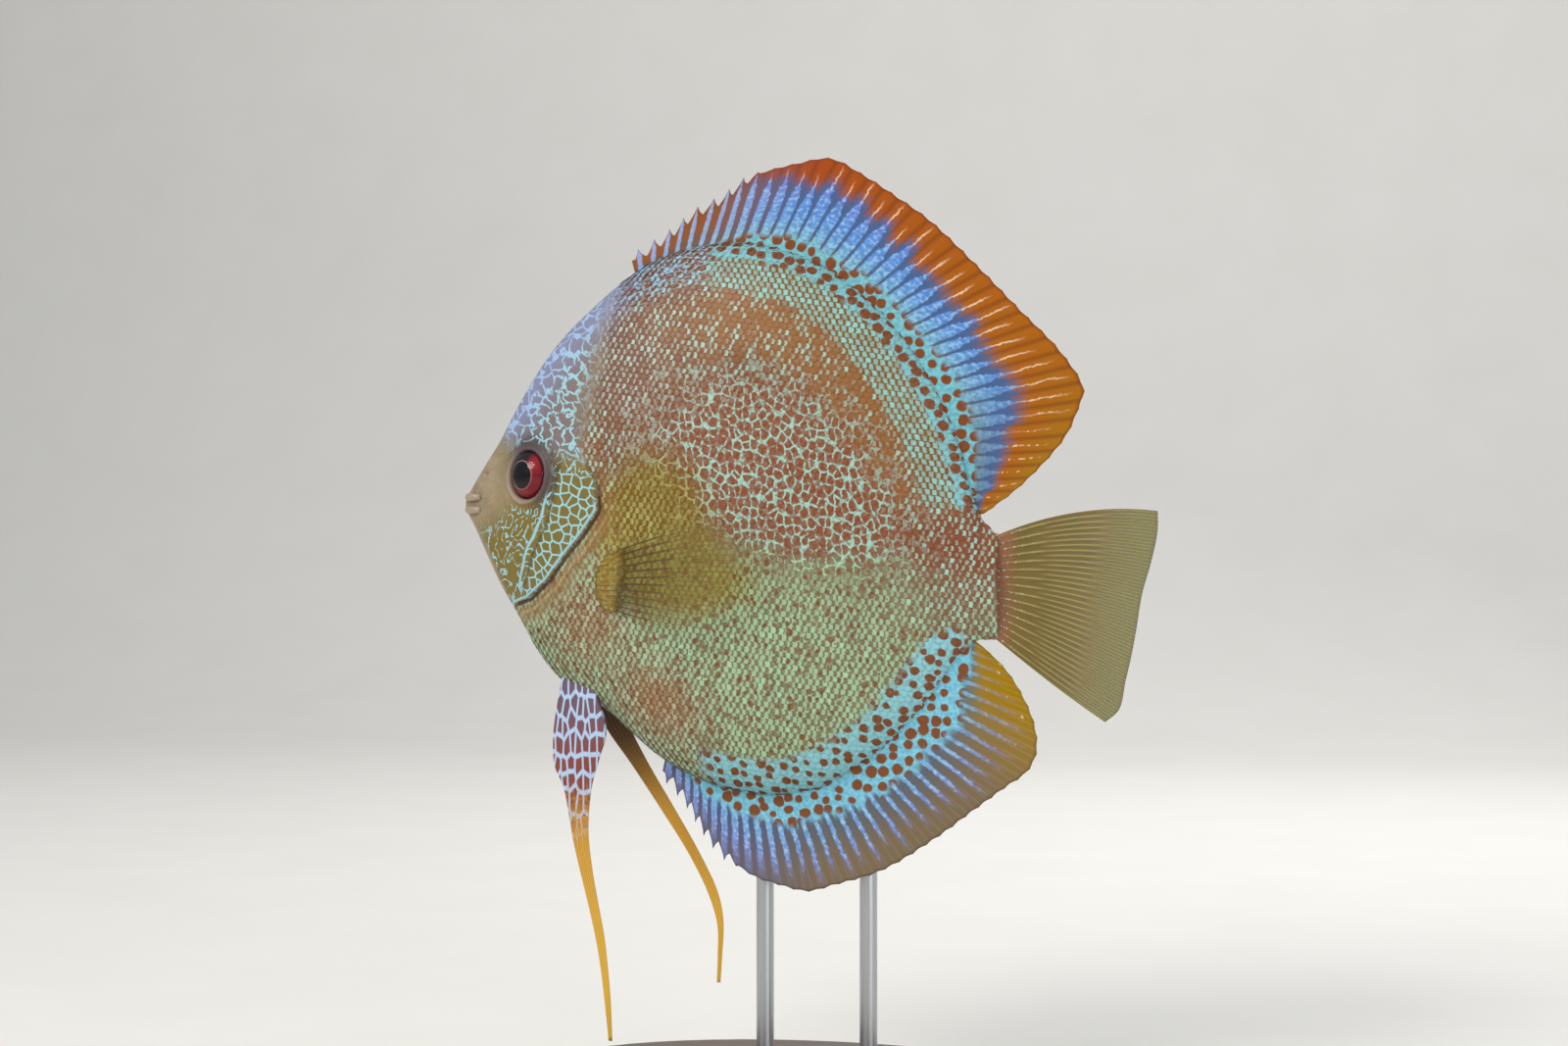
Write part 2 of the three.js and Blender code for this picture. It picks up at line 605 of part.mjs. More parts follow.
// Rod: stands on the plinth and ends against the lower right flank.
function rod(x) {
  const foot = PLINTH_HEIGHT + GAP;
  const geometry = new THREE.CylinderGeometry(ROD_RADIUS, ROD_RADIUS, ROD_TOP_Z - foot, ROD_SIDES);
  geometry.rotateX(Math.PI / 2);
  geometry.translate(x, ROD_Y, (ROD_TOP_Z + foot) / 2);
  const pieces = solidOf(geometry).subtract(bodyClear).decompose();
  const lowest = (solid) => solid.boundingBox().min[2];
  return pieces.reduce((best, piece) => (lowest(piece) < lowest(best) ? piece : best));
}

const fish = new THREE.Group();
fish.add(node('head', head(), skinMaterial));
fish.add(node('gill_cover_left', gillCover(-1), gillMaterial));
fish.add(node('gill_cover_right', gillCover(1), gillMaterial));
fish.add(node('upper_lip', lip(UPPER_LIP_Z, 0), lipMaterial));
fish.add(node('lower_lip', lip(LOWER_LIP_Z, 0), lipMaterial));
fish.add(node('eye_left', eyeball(-1, 0), eyeMaterial));
fish.add(node('eye_right', eyeball(1, 0), eyeMaterial));
fish.add(node('trunk', trunk(), skinMaterial));
fish.add(node('tail_stalk', tailStalk(), skinMaterial));

const dorsal = midFin(DORSAL_ROOT, DORSAL_EDGE, DORSAL_RAYS, DORSAL_SPINES);
const anal = midFin(ANAL_ROOT, ANAL_EDGE, ANAL_RAYS, ANAL_SPINES);
const leftPelvic = pelvicFin(LEFT_PELVIC_FRONT, LEFT_PELVIC_REAR);
const rightPelvic = pelvicFin(RIGHT_PELVIC_FRONT, RIGHT_PELVIC_REAR);
fish.add(node('dorsal_fin', dorsal.subtract(bodyClear), dorsalMaterial));
fish.add(node('anal_fin', anal.subtract(bodyClear), analMaterial));
fish.add(node('tail_fin', tailFin().subtract(bodyClear), tailMaterial));
fish.add(node('pectoral_fin_left', pectoralFin(-1).subtract(bodyClear), pectoralMaterial));
fish.add(node('pectoral_fin_right', pectoralFin(1).subtract(bodyClear), pectoralMaterial));
fish.add(node('pelvic_fin_left', leftPelvic.subtract(bodyClear), pelvicMaterial));
fish.add(node('pelvic_fin_right', rightPelvic.subtract(bodyClear), pelvicMaterial));

const stand = new THREE.Group();
stand.add(node('stand_base', plinth(), woodMaterial));
stand.add(node('stand_rod_front', rod(FRONT_ROD_X), steelMaterial));
stand.add(node('stand_rod_rear', rod(REAR_ROD_X), steelMaterial));

const model = new THREE.Group();
model.add(fish, stand);
export default model;
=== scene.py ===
import math
from types import SimpleNamespace

import bpy
import numpy as np
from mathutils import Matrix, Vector


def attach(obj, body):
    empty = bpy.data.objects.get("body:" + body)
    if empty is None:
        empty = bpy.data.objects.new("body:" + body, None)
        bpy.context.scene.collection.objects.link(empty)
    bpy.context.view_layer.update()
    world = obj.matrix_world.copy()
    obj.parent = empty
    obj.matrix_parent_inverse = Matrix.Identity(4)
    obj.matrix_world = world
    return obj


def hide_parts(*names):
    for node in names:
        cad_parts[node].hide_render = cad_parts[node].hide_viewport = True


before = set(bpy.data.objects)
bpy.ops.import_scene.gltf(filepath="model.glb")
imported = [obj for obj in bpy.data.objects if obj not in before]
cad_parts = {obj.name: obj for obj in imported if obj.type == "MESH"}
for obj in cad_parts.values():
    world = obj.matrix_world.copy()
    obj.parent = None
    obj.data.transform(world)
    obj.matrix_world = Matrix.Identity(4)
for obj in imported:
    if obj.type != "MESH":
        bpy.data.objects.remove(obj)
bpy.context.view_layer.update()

# Camera.
# The picture is taken level with the fish's eye, from a little behind its left side, so
# that the head turns slightly away and the far pelvic fin shows past the belly.
VIEW_DISTANCE = 0.600
VIEW_TURN = math.radians(14)
LOOK_AT = Vector((-0.004, 0.0, 0.131))
PICTURE_SCALE = 0.00022
PICTURE_WIDTH = 1600
SENSOR_WIDTH = 36.0

camera_data = bpy.data.cameras.new("camera")
camera_data.sensor_width = SENSOR_WIDTH
camera_data.lens = SENSOR_WIDTH * VIEW_DISTANCE / PICTURE_SCALE / PICTURE_WIDTH
camera_data.clip_start = 0.01
camera = bpy.data.objects.new("camera", camera_data)
bpy.context.scene.collection.objects.link(camera)
camera.location = LOOK_AT + VIEW_DISTANCE * Vector((math.sin(VIEW_TURN), -math.cos(VIEW_TURN), 0))
camera.rotation_euler = (math.pi / 2, 0, VIEW_TURN)
bpy.context.scene.camera = camera

# Studio.
# A pale painted floor that curves up into a plain wall, lit by four large soft lamps and
# an even pale surround. It belongs to the picture and not to the model.
MM = 0.001


def tone(code):
    """A picture colour such as #8899aa as the light that it stands for."""
    parts = [int(code[i:i + 2], 16) / 255 for i in (1, 3, 5)]
    return tuple(p / 12.92 if p <= 0.04045 else ((p + 0.055) / 1.055) ** 2.4 for p in parts) + (1.0,)


class Flow:
    """A number, colour or vector between two nodes; sums on it add Math nodes."""

    def __init__(self, finish, socket):
        self.finish = finish
        self.socket = socket

    def math(self, operation, other=None, turned=False):
        values = {0: self} if other is None else ({0: other, 1: self} if turned else {0: self, 1: other})
        return self.finish.node("ShaderNodeMath", {"operation": operation}, values)[0]

    def __add__(self, other):
        return self.math("ADD", other)

    __radd__ = __add__

    def __sub__(self, other):
        return self.math("SUBTRACT", other)

    def __rsub__(self, other):
        return self.math("SUBTRACT", other, True)

    def __mul__(self, other):
        return self.math("MULTIPLY", other)

    __rmul__ = __mul__

    def __abs__(self):
        return self.math("ABSOLUTE")

    def least(self, other):
        return self.math("MINIMUM", other)

    def most(self, other):
        return self.math("MAXIMUM", other)

    def fract(self):
        return self.math("FRACT")

    def off_line(self):
        """Distance to the nearest of the lines that stand at every half, 0.5 between two."""
        return abs(self.fract() - 0.5)

    def floor(self):
        return self.math("FLOOR")

    def wave(self):
        return self.math("SINE")

    def between(self, low, high):
        """0 below low, 1 above high and smooth between them; low may be the larger."""
        values = {"Value": self, "From Min": low, "From Max": high, "To Min": 0.0, "To Max": 1.0}
        return self.finish.node("ShaderNodeMapRange", {"interpolation_type": "SMOOTHSTEP"}, values)["Result"]


class Outlets:
    """The outputs of a node, by name or by place."""

    def __init__(self, finish, made):
        self.finish = finish
        self.made = made

    def __getitem__(self, key):
        return Flow(self.finish, self.made.outputs[key])


class Finish:
    """One material and the nodes in it."""

    def __init__(self, name):
        self.material = bpy.data.materials.new(name)
        self.material.use_nodes = True
        self.tree = self.material.node_tree
        self.tree.nodes.clear()
        self.output = self.tree.nodes.new("ShaderNodeOutputMaterial")

    def node(self, kind, settings, values):
        made = self.tree.nodes.new(kind)
        for name, value in settings.items():
            setattr(made, name, value)
        for name, value in values.items():
            if isinstance(value, Flow):
                self.tree.links.new(value.socket, made.inputs[name])
            else:
                made.inputs[name].default_value = value
        return Outlets(self, made)

    def place(self):
        """Where a point lies on the model, in millimetres."""
        spot = self.node("ShaderNodeTexCoord", {}, {})["Object"]
        return self.scaled(spot, 1 / MM)

    def scaled(self, vector, factor):
        return self.node("ShaderNodeVectorMath", {"operation": "SCALE"}, {0: vector, "Scale": factor})[0]

    def stretched(self, vector, factors):
        return self.node("ShaderNodeVectorMath", {"operation": "MULTIPLY"}, {0: vector, 1: factors})[0]

    def moved(self, vector, other):
        return self.node("ShaderNodeVectorMath", {"operation": "ADD"}, {0: vector, 1: other})[0]

    def split(self, vector):
        parts = self.node("ShaderNodeSeparateXYZ", {}, {0: vector})
        return parts[0], parts[1], parts[2]

    def joined(self, x, y, z=0.0):
        return self.node("ShaderNodeCombineXYZ", {}, {0: x, 1: y, 2: z})[0]

    def map(self, name):
        return self.node("ShaderNodeUVMap", {"uv_map": name}, {})[0]

    def mask(self, name):
        return self.node("ShaderNodeAttribute", {"attribute_name": name}, {})["Fac"]

    def noise(self, vector, scale, detail=2.0, roughness=0.5):
        values = {"Vector": vector, "Scale": scale, "Detail": detail, "Roughness": roughness}
        return self.node("ShaderNodeTexNoise", {}, values)["Fac"]

    def jitter(self, vector, detail):
        """A soft chance offset, about 2.5 mm wide and from 0 to 1 each way."""
        values = {"Vector": vector, "Scale": 0.4, "Detail": detail}
        return self.node("ShaderNodeTexNoise", {}, values)["Color"]

    def cells(self, vector, size, randomness, feature="F1"):
        """Irregular flat cells of a size, by the distance to their middles or edges."""
        settings = {"voronoi_dimensions": "2D", "feature": feature}
        values = {"Vector": vector, "Scale": 1 / size, "Randomness": randomness}
        return self.node("ShaderNodeTexVoronoi", settings, values)

    def mix(self, amount, first, second):
        """Two colours mixed; each is a Flow or a picture colour code."""
        first, second = [tone(c) if isinstance(c, str) else c for c in (first, second)]
        settings = {"data_type": "RGBA", "clamp_factor": True}
        return self.node("ShaderNodeMix", settings, {0: amount, 6: first, 7: second})[2]

    def coats(self, colour, *laid):
        """Coats of colour laid one over another, each given as how much and which."""
        for amount, over in laid:
            colour = self.mix(amount, colour, over)
        return colour

    def bump(self, height, distance, strength=1.0):
        values = {"Height": height, "Distance": distance, "Strength": strength}
        return self.node("ShaderNodeBump", {}, values)["Normal"]

    def surface(self, values):
        return self.shown(self.node("ShaderNodeBsdfPrincipled", {}, values)[0])

    def shown(self, shader):
        self.tree.links.new(shader.socket, self.output.inputs["Surface"])
        return self.material


def mesh_piece(name, places, faces, material):
    """A smooth mesh object from places in millimetres."""
    mesh = bpy.data.meshes.new(name)
    mesh.from_pydata((np.asarray(places) * MM).tolist(), [], faces)
    mesh.validate()
    mesh.polygons.foreach_set("use_smooth", [True] * len(mesh.polygons))
    mesh.materials.append(material)
    made = bpy.data.objects.new(name, mesh)
    bpy.context.scene.collection.objects.link(made)
    return made


def paint_finish():
    """Pale wall paint, a little uneven in tone and sheen."""
    paint = Finish("pale_paint")
    grain = paint.noise(paint.place(), 0.02, 4.0)
    fine = paint.noise(paint.place(), 0.9, 3.0)
    return paint.surface({
        "Base Color": paint.mix(grain, "#e6e4df", "#edebe7"), "Roughness": 0.75 + 0.15 * fine,
        "Normal": paint.bump(fine, 0.0001, 0.3),
    })


ROOM_REACH = 2600.0
WALL_START = 900.0
WALL_RADIUS = 500.0
WALL_STEPS = 16
profile_points = [(-ROOM_REACH, 0.0), (WALL_START, 0.0)]
for i in range(1, WALL_STEPS + 1):
    turn = math.pi / 2 * i / WALL_STEPS
    profile_points.append((WALL_START + WALL_RADIUS * math.sin(turn), WALL_RADIUS * (1 - math.cos(turn))))
profile_points.append((WALL_START + WALL_RADIUS, ROOM_REACH))
room_places = [(x, y, z) for x in (-ROOM_REACH, ROOM_REACH) for y, z in profile_points]
count = len(profile_points)
room_faces = [[i, count + i, count + i + 1, i + 1] for i in range(count - 1)]
room = mesh_piece("studio_floor", room_places, room_faces, paint_finish())


def soft_lamp(name, place, aim, size, watts, colour):
    """A round soft lamp at a place, turned toward its aim; both are in metres."""
    data = bpy.data.lights.new(name, "AREA")
    data.shape = "DISK"
    data.size = size
    data.energy = watts
    data.color = colour
    lamp = bpy.data.objects.new(name, data)
    bpy.context.scene.collection.objects.link(lamp)
    lamp.location = place
    lamp.rotation_euler = (Vector(aim) - Vector(place)).to_track_quat("-Z", "Y").to_euler()


soft_lamp("key_lamp", (-0.45, -0.75, 0.75), (0, 0, 0.13), 0.55, 6.8, (1.0, 0.98, 0.95))
soft_lamp("fill_lamp", (0.75, -0.6, 0.25), (0, 0, 0.13), 0.7, 2.8, (0.93, 0.97, 1.0))
soft_lamp("rear_lamp", (0.25, 0.7, 0.7), (0, 0, 0.14), 0.5, 3.2, (1.0, 1.0, 1.0))
soft_lamp("wall_lamp", (0.0, 0.35, 1.3), (0, 1.4, 0.5), 0.9, 5.0, (1.0, 1.0, 1.0))
world = bpy.data.worlds.new("surround")
bpy.context.scene.world = world
world.use_nodes = True
surround = world.node_tree.nodes["Background"]
surround.inputs["Color"].default_value = (0.9, 0.93, 0.96, 1.0)
surround.inputs["Strength"].default_value = 0.38
bpy.context.scene.view_settings.view_transform = "Standard"

# Skin.
# One moist skin over head, gill covers, trunk and tail stalk, cast in resin over the body's
# form and painted: brown ground, turquoise net and red-brown spots. It lies just under the
# scales, and carries the gill opening, the cheek groove, the orbit rims and the nostrils.
SNOUT_X = -79.2
STALK_END_X = 44.0
FULLNESS = 0.9
SCALE_LENGTH = 1.55
SCALE_ROW = 1.3
SCALE_RISE = 0.22

BACK_LINE = [
    (SNOUT_X, 137.6), (-77.3, 140.7), (-74, 146.1), (-69.1, 154.2), (-62.2, 165.3), (-56.6, 172.6),
    (-49, 179.9), (-41, 186.4), (-31.5, 191.6), (-22, 193.9), (-14, 194.3), (-1, 191.5),
    (9.5, 185.8), (18.5, 178), (26.2, 168.7), (32.2, 158.5), (36, 149), (38.5, 139.5),
    (41, 132), (STALK_END_X, 129)]
BELLY_LINE = [
    (SNOUT_X, 133), (-77.3, 129.6), (-73.8, 122.3), (-70.7, 116.2), (-67.4, 110.8), (-63.2, 103.7),
    (-59.6, 98.8), (-55.6, 94.6), (-50.2, 91.3), (-44.3, 87.6), (-39, 83), (-33.1, 78.2),
    (-26.9, 74.6), (-17.7, 71.2), (-7.4, 69.7), (2.8, 71.3), (14, 77.2), (22.9, 84.8),
    (30.7, 93.8), (36, 101.6), (40, 105), (STALK_END_X, 105.4)]
HALF_THICKNESS = [
    (SNOUT_X, 2.2), (-76, 3.9), (-72, 5.8), (-66, 8.5), (-60, 11.8), (-53, 14.2), (-44, 15.3),
    (-30, 15.5), (-15, 14.6), (0, 12.8), (15, 10), (28, 6.8), (36, 4.9), (STALK_END_X, 3.6)]


def smooth_line(points):
    """Smooth value along x through points, without overshoot between them."""
    xs, ys = np.array(points, float).T
    slopes = np.diff(ys) / np.diff(xs)
    tangents = np.empty(len(xs))
    tangents[0], tangents[-1] = slopes[0], slopes[-1]
    before, after = slopes[:-1], slopes[1:]
    safe = np.where(before * after > 0, before + after, 1.0)
    tangents[1:-1] = np.where(before * after > 0, 2 * before * after / safe, 0.0)

    def value(x):
        at = np.clip(x, xs[0], xs[-1])
        i = np.clip(np.searchsorted(xs, at, side="right") - 1, 0, len(xs) - 2)
        width = xs[i + 1] - xs[i]
        t = (at - xs[i]) / width
        rise = (2 * t - 3) * t * t
        return ((rise + 1) * ys[i] + t * (1 - t) ** 2 * width * tangents[i]
                - rise * ys[i + 1] + (t - 1) * t * t * width * tangents[i + 1])
    return value


back_at = smooth_line(BACK_LINE)
belly_at = smooth_line(BELLY_LINE)
half_at = smooth_line(HALF_THICKNESS)


def step(low, high, value):
    """0 at low, 1 at high and smooth between them; low may be the larger."""
    t = np.clip((value - low) / (high - low), 0, 1)
    return t * t * (3 - 2 * t)


def bell(value, width):
    """1 where the value is 0, fading to 0 on both sides within a few widths."""
    return np.exp(-(value / width) ** 2)


def blob(x, z, middle, reach, turn=0.0):
    """1 at the middle of an oval patch of the side view, fading to 0 past its reach."""
    c, s = math.cos(math.radians(turn)), math.sin(math.radians(turn))
    u = ((x - middle[0]) * c + (z - middle[1]) * s) / reach[0]
    v = (-(x - middle[0]) * s + (z - middle[1]) * c) / reach[1]
    return np.exp(-(u * u + v * v))


def side_of(x, z, line):
    """Distance to a line of the side view, negative on its left as it runs, and the share run."""
    line = np.array(line, float)
    best = np.full(x.shape, 1e9)
    side = np.zeros(x.shape)
    share = np.zeros(x.shape)
    lengths = np.hypot(*np.diff(line, axis=0).T)
    starts = np.concatenate([[0], np.cumsum(lengths)]) / lengths.sum()
    for k, (a, b) in enumerate(zip(line[:-1], line[1:])):
        d = b - a
        t = np.clip(((x - a[0]) * d[0] + (z - a[1]) * d[1]) / (d @ d), 0, 1)
        gap = np.hypot(x - a[0] - t * d[0], z - a[1] - t * d[1])
        near = gap < best
        turning = d[0] * (z - a[1]) - d[1] * (x - a[0])
        side = np.where(near, np.where(turning > 0, -1.0, 1.0), side)
        share = np.where(near, starts[k] + t * (starts[k + 1] - starts[k]), share)
        best = np.minimum(best, gap)
    return best * side, share


GILL_EDGE = [(-47.4, 147.4), (-43.6, 140.4), (-42.9, 133.7), (-46.8, 128.3), (-51.5, 123.1),
             (-55.6, 118.2), (-61.1, 114), (-66.5, 112.4)]
CHEEK_GROOVE = [(-52.2, 146), (-53.9, 138), (-55.6, 131), (-59.5, 124), (-62.3, 116.6)]
HEAD_LINE = [(-41.5, 200), (-43.2, 186), (-44.7, 165), (-47, 153.7), *GILL_EDGE, (-71, 104)]
EYE_CENTRE = np.array((-61.3, -10.9, 141.8))
EYE_TURN = math.radians(30)
EYE_AXIS = np.array((-math.sin(EYE_TURN), -math.cos(EYE_TURN), 0.0))
NOSTRIL = (-73.6, 142.3)
NEAR, FAR = -1, 1


def off_eye(places, side):
    """Distance of places from an eye's axis, and how far along it they lie."""
    mirror = np.array((1, -side, 1))
    rel = places - EYE_CENTRE * mirror
    along = rel @ (EYE_AXIS * mirror)
    return np.linalg.norm(rel - np.outer(along, EYE_AXIS * mirror), axis=1), along


GILL_RISE = 0.55
GILL_FADE = 5.5
SLIT_DEPTH = 0.75
SLIT_FADE = 1.1
ORBIT_RADIUS = 6.0
ORBIT_RISE = 0.8
SOCKET_DEPTH = 1.6
EYE_REACH = 6
PIT_RIM = 0.22
PIT_DEPTH = 0.75
CHEEK_SWELL = 0.5
BROW_HOLLOW = 0.5


def relief(places):
    """How far the skin stands out of the plain form of the body."""
    x, y, z = places.T
    behind, share = side_of(x, z, GILL_EDGE)
    behind = -behind
    held = step(0.0, 0.12, share) * step(1.0, 0.9, share)
    cover = GILL_RISE * np.exp(np.minimum(behind, 0) / GILL_FADE) * (behind <= 0)
    opening = -SLIT_DEPTH * np.exp(-np.maximum(behind, 0) / SLIT_FADE) * (behind > 0)
    rise = held * (cover + opening)
    groove, run = side_of(x, z, CHEEK_GROOVE)
    kept = step(0.0, 0.1, run) * step(1.0, 0.92, run)
    rise += kept * (0.25 * bell(groove - 1.3, 0.9) - 0.4 * bell(groove, 0.45))
    for side in (NEAR, FAR):
        away, along = off_eye(places, side)
        on = (np.sign(y) == side) * (np.abs(along) < EYE_REACH)
        rise += on * (ORBIT_RISE * bell(away - ORBIT_RADIUS, 0.8) - SOCKET_DEPTH * step(5.9, 5.0, away))
    pit = np.hypot(x - NOSTRIL[0], z - NOSTRIL[1])
    rise += PIT_RIM * bell(pit - 1.0, 0.35) - PIT_DEPTH * bell(pit, 0.55)
    # The cheek swells below the eye, and a shallow hollow lies above and in front of it.
    rise += CHEEK_SWELL * blob(x, z, (-64, 128), (6, 8)) * (np.abs(y) > 1)
    rise -= BROW_HOLLOW * blob(x, z, (-69.5, 149), (3.2, 5), -30)
    return rise


SECTIONS = 240
ROUND = 400
HEAD_SECTIONS = 0.5
HEAD_LENGTH = 38.5
STALK_OVERLAP = 0.6
AXIS_START = (-80.0, 135.0)
AXIS_SLOPE = -0.14
skin_length = STALK_END_X + STALK_OVERLAP - SNOUT_X
even = np.linspace(0, 1, SECTIONS)
section_x = SNOUT_X + np.interp(even, (0, HEAD_SECTIONS, 1), (0, HEAD_LENGTH, skin_length))
round_turn = np.linspace(-math.pi / 2, 1.5 * math.pi, ROUND, endpoint=False)


def body_form(x, turn):
    """A point of the body's plain form; turn -90 degrees is the belly line, 90 the back."""
    middle = (back_at(x) + belly_at(x)) / 2
    reach = (back_at(x) - belly_at(x)) / 2
    side = np.sign(np.cos(turn)) * np.abs(np.cos(turn)) ** FULLNESS
    return np.stack([x + 0 * turn, half_at(x) * side, middle + reach * np.sin(turn)], axis=-1)


def axis_at(x):
    """Height of the straight line from mouth to tail stalk that the scale rows follow."""
    return AXIS_START[1] + AXIS_SLOPE * (x - AXIS_START[0])


grid = body_form(section_x[:, None], round_turn[None, :])
normals = np.cross(np.gradient(grid, axis=0), np.roll(grid, -1, axis=1) - np.roll(grid, 1, axis=1))
normals /= np.linalg.norm(normals, axis=2, keepdims=True) + 1e-12
normals *= np.sign((normals[..., 1] * grid[..., 1]).sum())

# Rows are counted by the length of skin between the axis line and the place, up and down.
half_round = ROUND // 2
hops = np.linalg.norm(np.roll(grid, -1, axis=1) - grid, axis=2)
arcs = np.cumsum(np.concatenate([np.zeros((SECTIONS, 1)), hops[:, :-1]], axis=1), axis=1)
skin_rows = np.empty((SECTIONS, ROUND))
for i in range(SECTIONS):
    zero = np.interp(axis_at(section_x[i]), grid[i, :half_round + 1, 2], arcs[i, :half_round + 1])
    skin_rows[i] = np.where(np.arange(ROUND) <= half_round, arcs[i], 2 * arcs[i, half_round] - arcs[i]) - zero

flat_grid = grid.reshape(-1, 3)
lift = relief(flat_grid) - SCALE_RISE
skin_places = flat_grid + normals.reshape(-1, 3) * lift[:, None]


def markings(places):
    """What the painter sees at each place: distances to edges in mm and shares of patterns."""
    x, y, z = places.T
    past = -side_of(x, z, HEAD_LINE)[0]
    gill_run = side_of(x, z, GILL_EDGE)[1]
    groove, groove_run = side_of(x, z, CHEEK_GROOVE)
    back = np.abs(side_of(x, z, BACK_LINE)[0])
    belly = np.abs(side_of(x, z, BELLY_LINE)[0])
    eye = np.where(y < 0, off_eye(places, NEAR)[0], off_eye(places, FAR)[0])
    blur = 0.4 + 4.0 * step(146, 156, z)
    head = 1 - step(-blur, blur, past)
    nose = np.hypot((x + 80.5) / 16.5, (z - 141) / 13.5)
    snout = np.maximum(1 - step(0.5, 1.25, nose), step(2.6, 0.9, belly) * step(-68, -73, x))
    snout = np.maximum(snout, 0.8 * blob(x, z, (-67.5, 138.5), (5, 4))) * head
    maze = step(145, 149.5, z + 0.25 * (x + 56))
    cover = step(0.4, -0.4, groove) * (groove_run > 0.1) * step(148, 145, z)
    toward = (0.85 * (x - EYE_CENTRE[0]) + 0.5 * (z - EYE_CENTRE[2])) / (eye + 0.1)
    marks = {
        "past_gill": np.clip(past, -20, 20), "gill_run": gill_run, "past_groove": np.clip(-groove, -9, 9),
        "groove_run": groove_run, "eye_gap": np.clip(eye, 0, 20),
        "head": head, "snout": snout, "maze": maze * head, "cover": cover * head,
        # Painted sheen: a lavender wash along the top of the forehead, where it is seen aslant.
        "brow": step(13, 2, back) * step(144, 156, z) * step(-34, -46, x),
        "shade": step(11.0, 7.0, eye) * step(-0.8, 0.4, toward) * head,
        "centre": blob(x, z, (-9, 147), (25, 17), -8) + 0.8 * blob(x, z, (6, 130), (22, 13), -20),
        "mustard": 1.1 * blob(x, z, (-31, 130), (13, 17)) + 0.5 * blob(x, z, (-17, 118), (15, 9)),
        "band": step(2.4, 4.5, back) * step(13.5, 9, back) * step(-30, -10, x) * step(130, 138, z),
        "sheath": step(5.0, 3.0, back) * step(-27, -15, x) * step(130, 138, z),
        "stripes": step(13, 5, back) * step(-50, -42, x) * step(-10, -24, x) * step(176, 182, z),
        "arc": step(9, 14, back) * step(28, 20, back) * step(-34, -14, x) * step(128, 142, z),
        "lower": step(131, 119, z + 0.12 * x) * (1 - head),
        "anal": step(11, 6, belly) * step(-28, -17, x) * step(40, 35, x) * step(112, 104, z),
        "tailward": blob(x, z, (38, 121), (14, 19)),
        "front": blob(x, z, (-40, 166), (15, 20), 30),
        "throat": blob(x, z, (-31, 91), (10, 7), -35) + 0.8 * blob(x, z, (-47, 109), (8, 9), -40),
    }
    return {name: value if value.max() > 2 else np.clip(value, 0, 1) for name, value in marks.items()}


GUIDES = list(markings(flat_grid[:1]))


def write_map(piece, name, places):
    """Writes a UV map with one place for each vertex onto a piece's mesh."""
    mesh = piece.data
    corners = np.empty(len(mesh.loops), np.int32)
    mesh.loops.foreach_get("vertex_index", corners)
    layer = mesh.uv_layers.new(name=name, do_init=False)
    layer.uv.foreach_set("vector", places[corners].astype(np.float32).ravel())


def carry(piece, places, lie):
    """Writes the painter's guides and the scale-row coordinates onto a piece's mesh."""
    for name, share in markings(places).items():
        guide = piece.data.attributes.new(name, "FLOAT", "POINT")
        guide.data.foreach_set("value", share.astype(np.float32))
    write_map(piece, "lie", lie)


def skin_place(skin):
    """What the painter goes by: guides, soft noises, and the place u, v on a scale."""
    at = SimpleNamespace(**{name: skin.mask(name) for name in GUIDES})
    lie = skin.map("lie")
    at.flat = skin.stretched(lie, (SCALE_LENGTH, SCALE_ROW, 0.0))
    at.cloud = skin.noise(at.flat, 0.09, 3.0)
    at.patch = skin.noise(at.flat, 0.28, 2.0)
    at.fine = skin.noise(at.flat, 1.1, 3.0)
    at.shaken = skin.moved(skin.jitter(at.flat, 1.0), (-0.5, -0.5, -0.5))
    at.run_u, at.run_v, _ = skin.split(skin.moved(at.flat, skin.scaled(at.shaken, 2.2)))

    # On each scale u runs from its root to its tip and v across it; the rest is its own chance.
    along, across, _ = skin.split(skin.moved(lie, skin.scaled(at.shaken, 0.55)))
    row = (across + 0.5).floor()
    shifted = along + (row * 0.5).fract()
    at.u = shifted.fract() - 0.5
    at.v = (across + 0.5).fract() - 0.5
    values = {"Vector": skin.joined(shifted.floor(), row)}
    own = skin.node("ShaderNodeTexWhiteNoise", {"noise_dimensions": "2D"}, values)["Color"]
    at.pick, at.ahead, at.beside = skin.split(own)

    rough = (at.patch - 0.5) * 0.9
    at.sheath = (at.sheath + rough * 0.6).between(0.3, 0.7)
    at.band = (at.band + rough * 0.6).between(0.25, 0.75)
    at.anal = (at.anal + rough).between(0.25, 0.85)
    at.centre = (at.centre + rough).between(0.1, 0.75)
    lower = (at.lower + rough * 0.9 + (at.cloud - 0.5) * 1.2).between(0.0, 1.0)
    at.lower = lower * (1.0 - 0.7 * at.tailward) * (1.0 - 0.5 * at.throat)
    return at


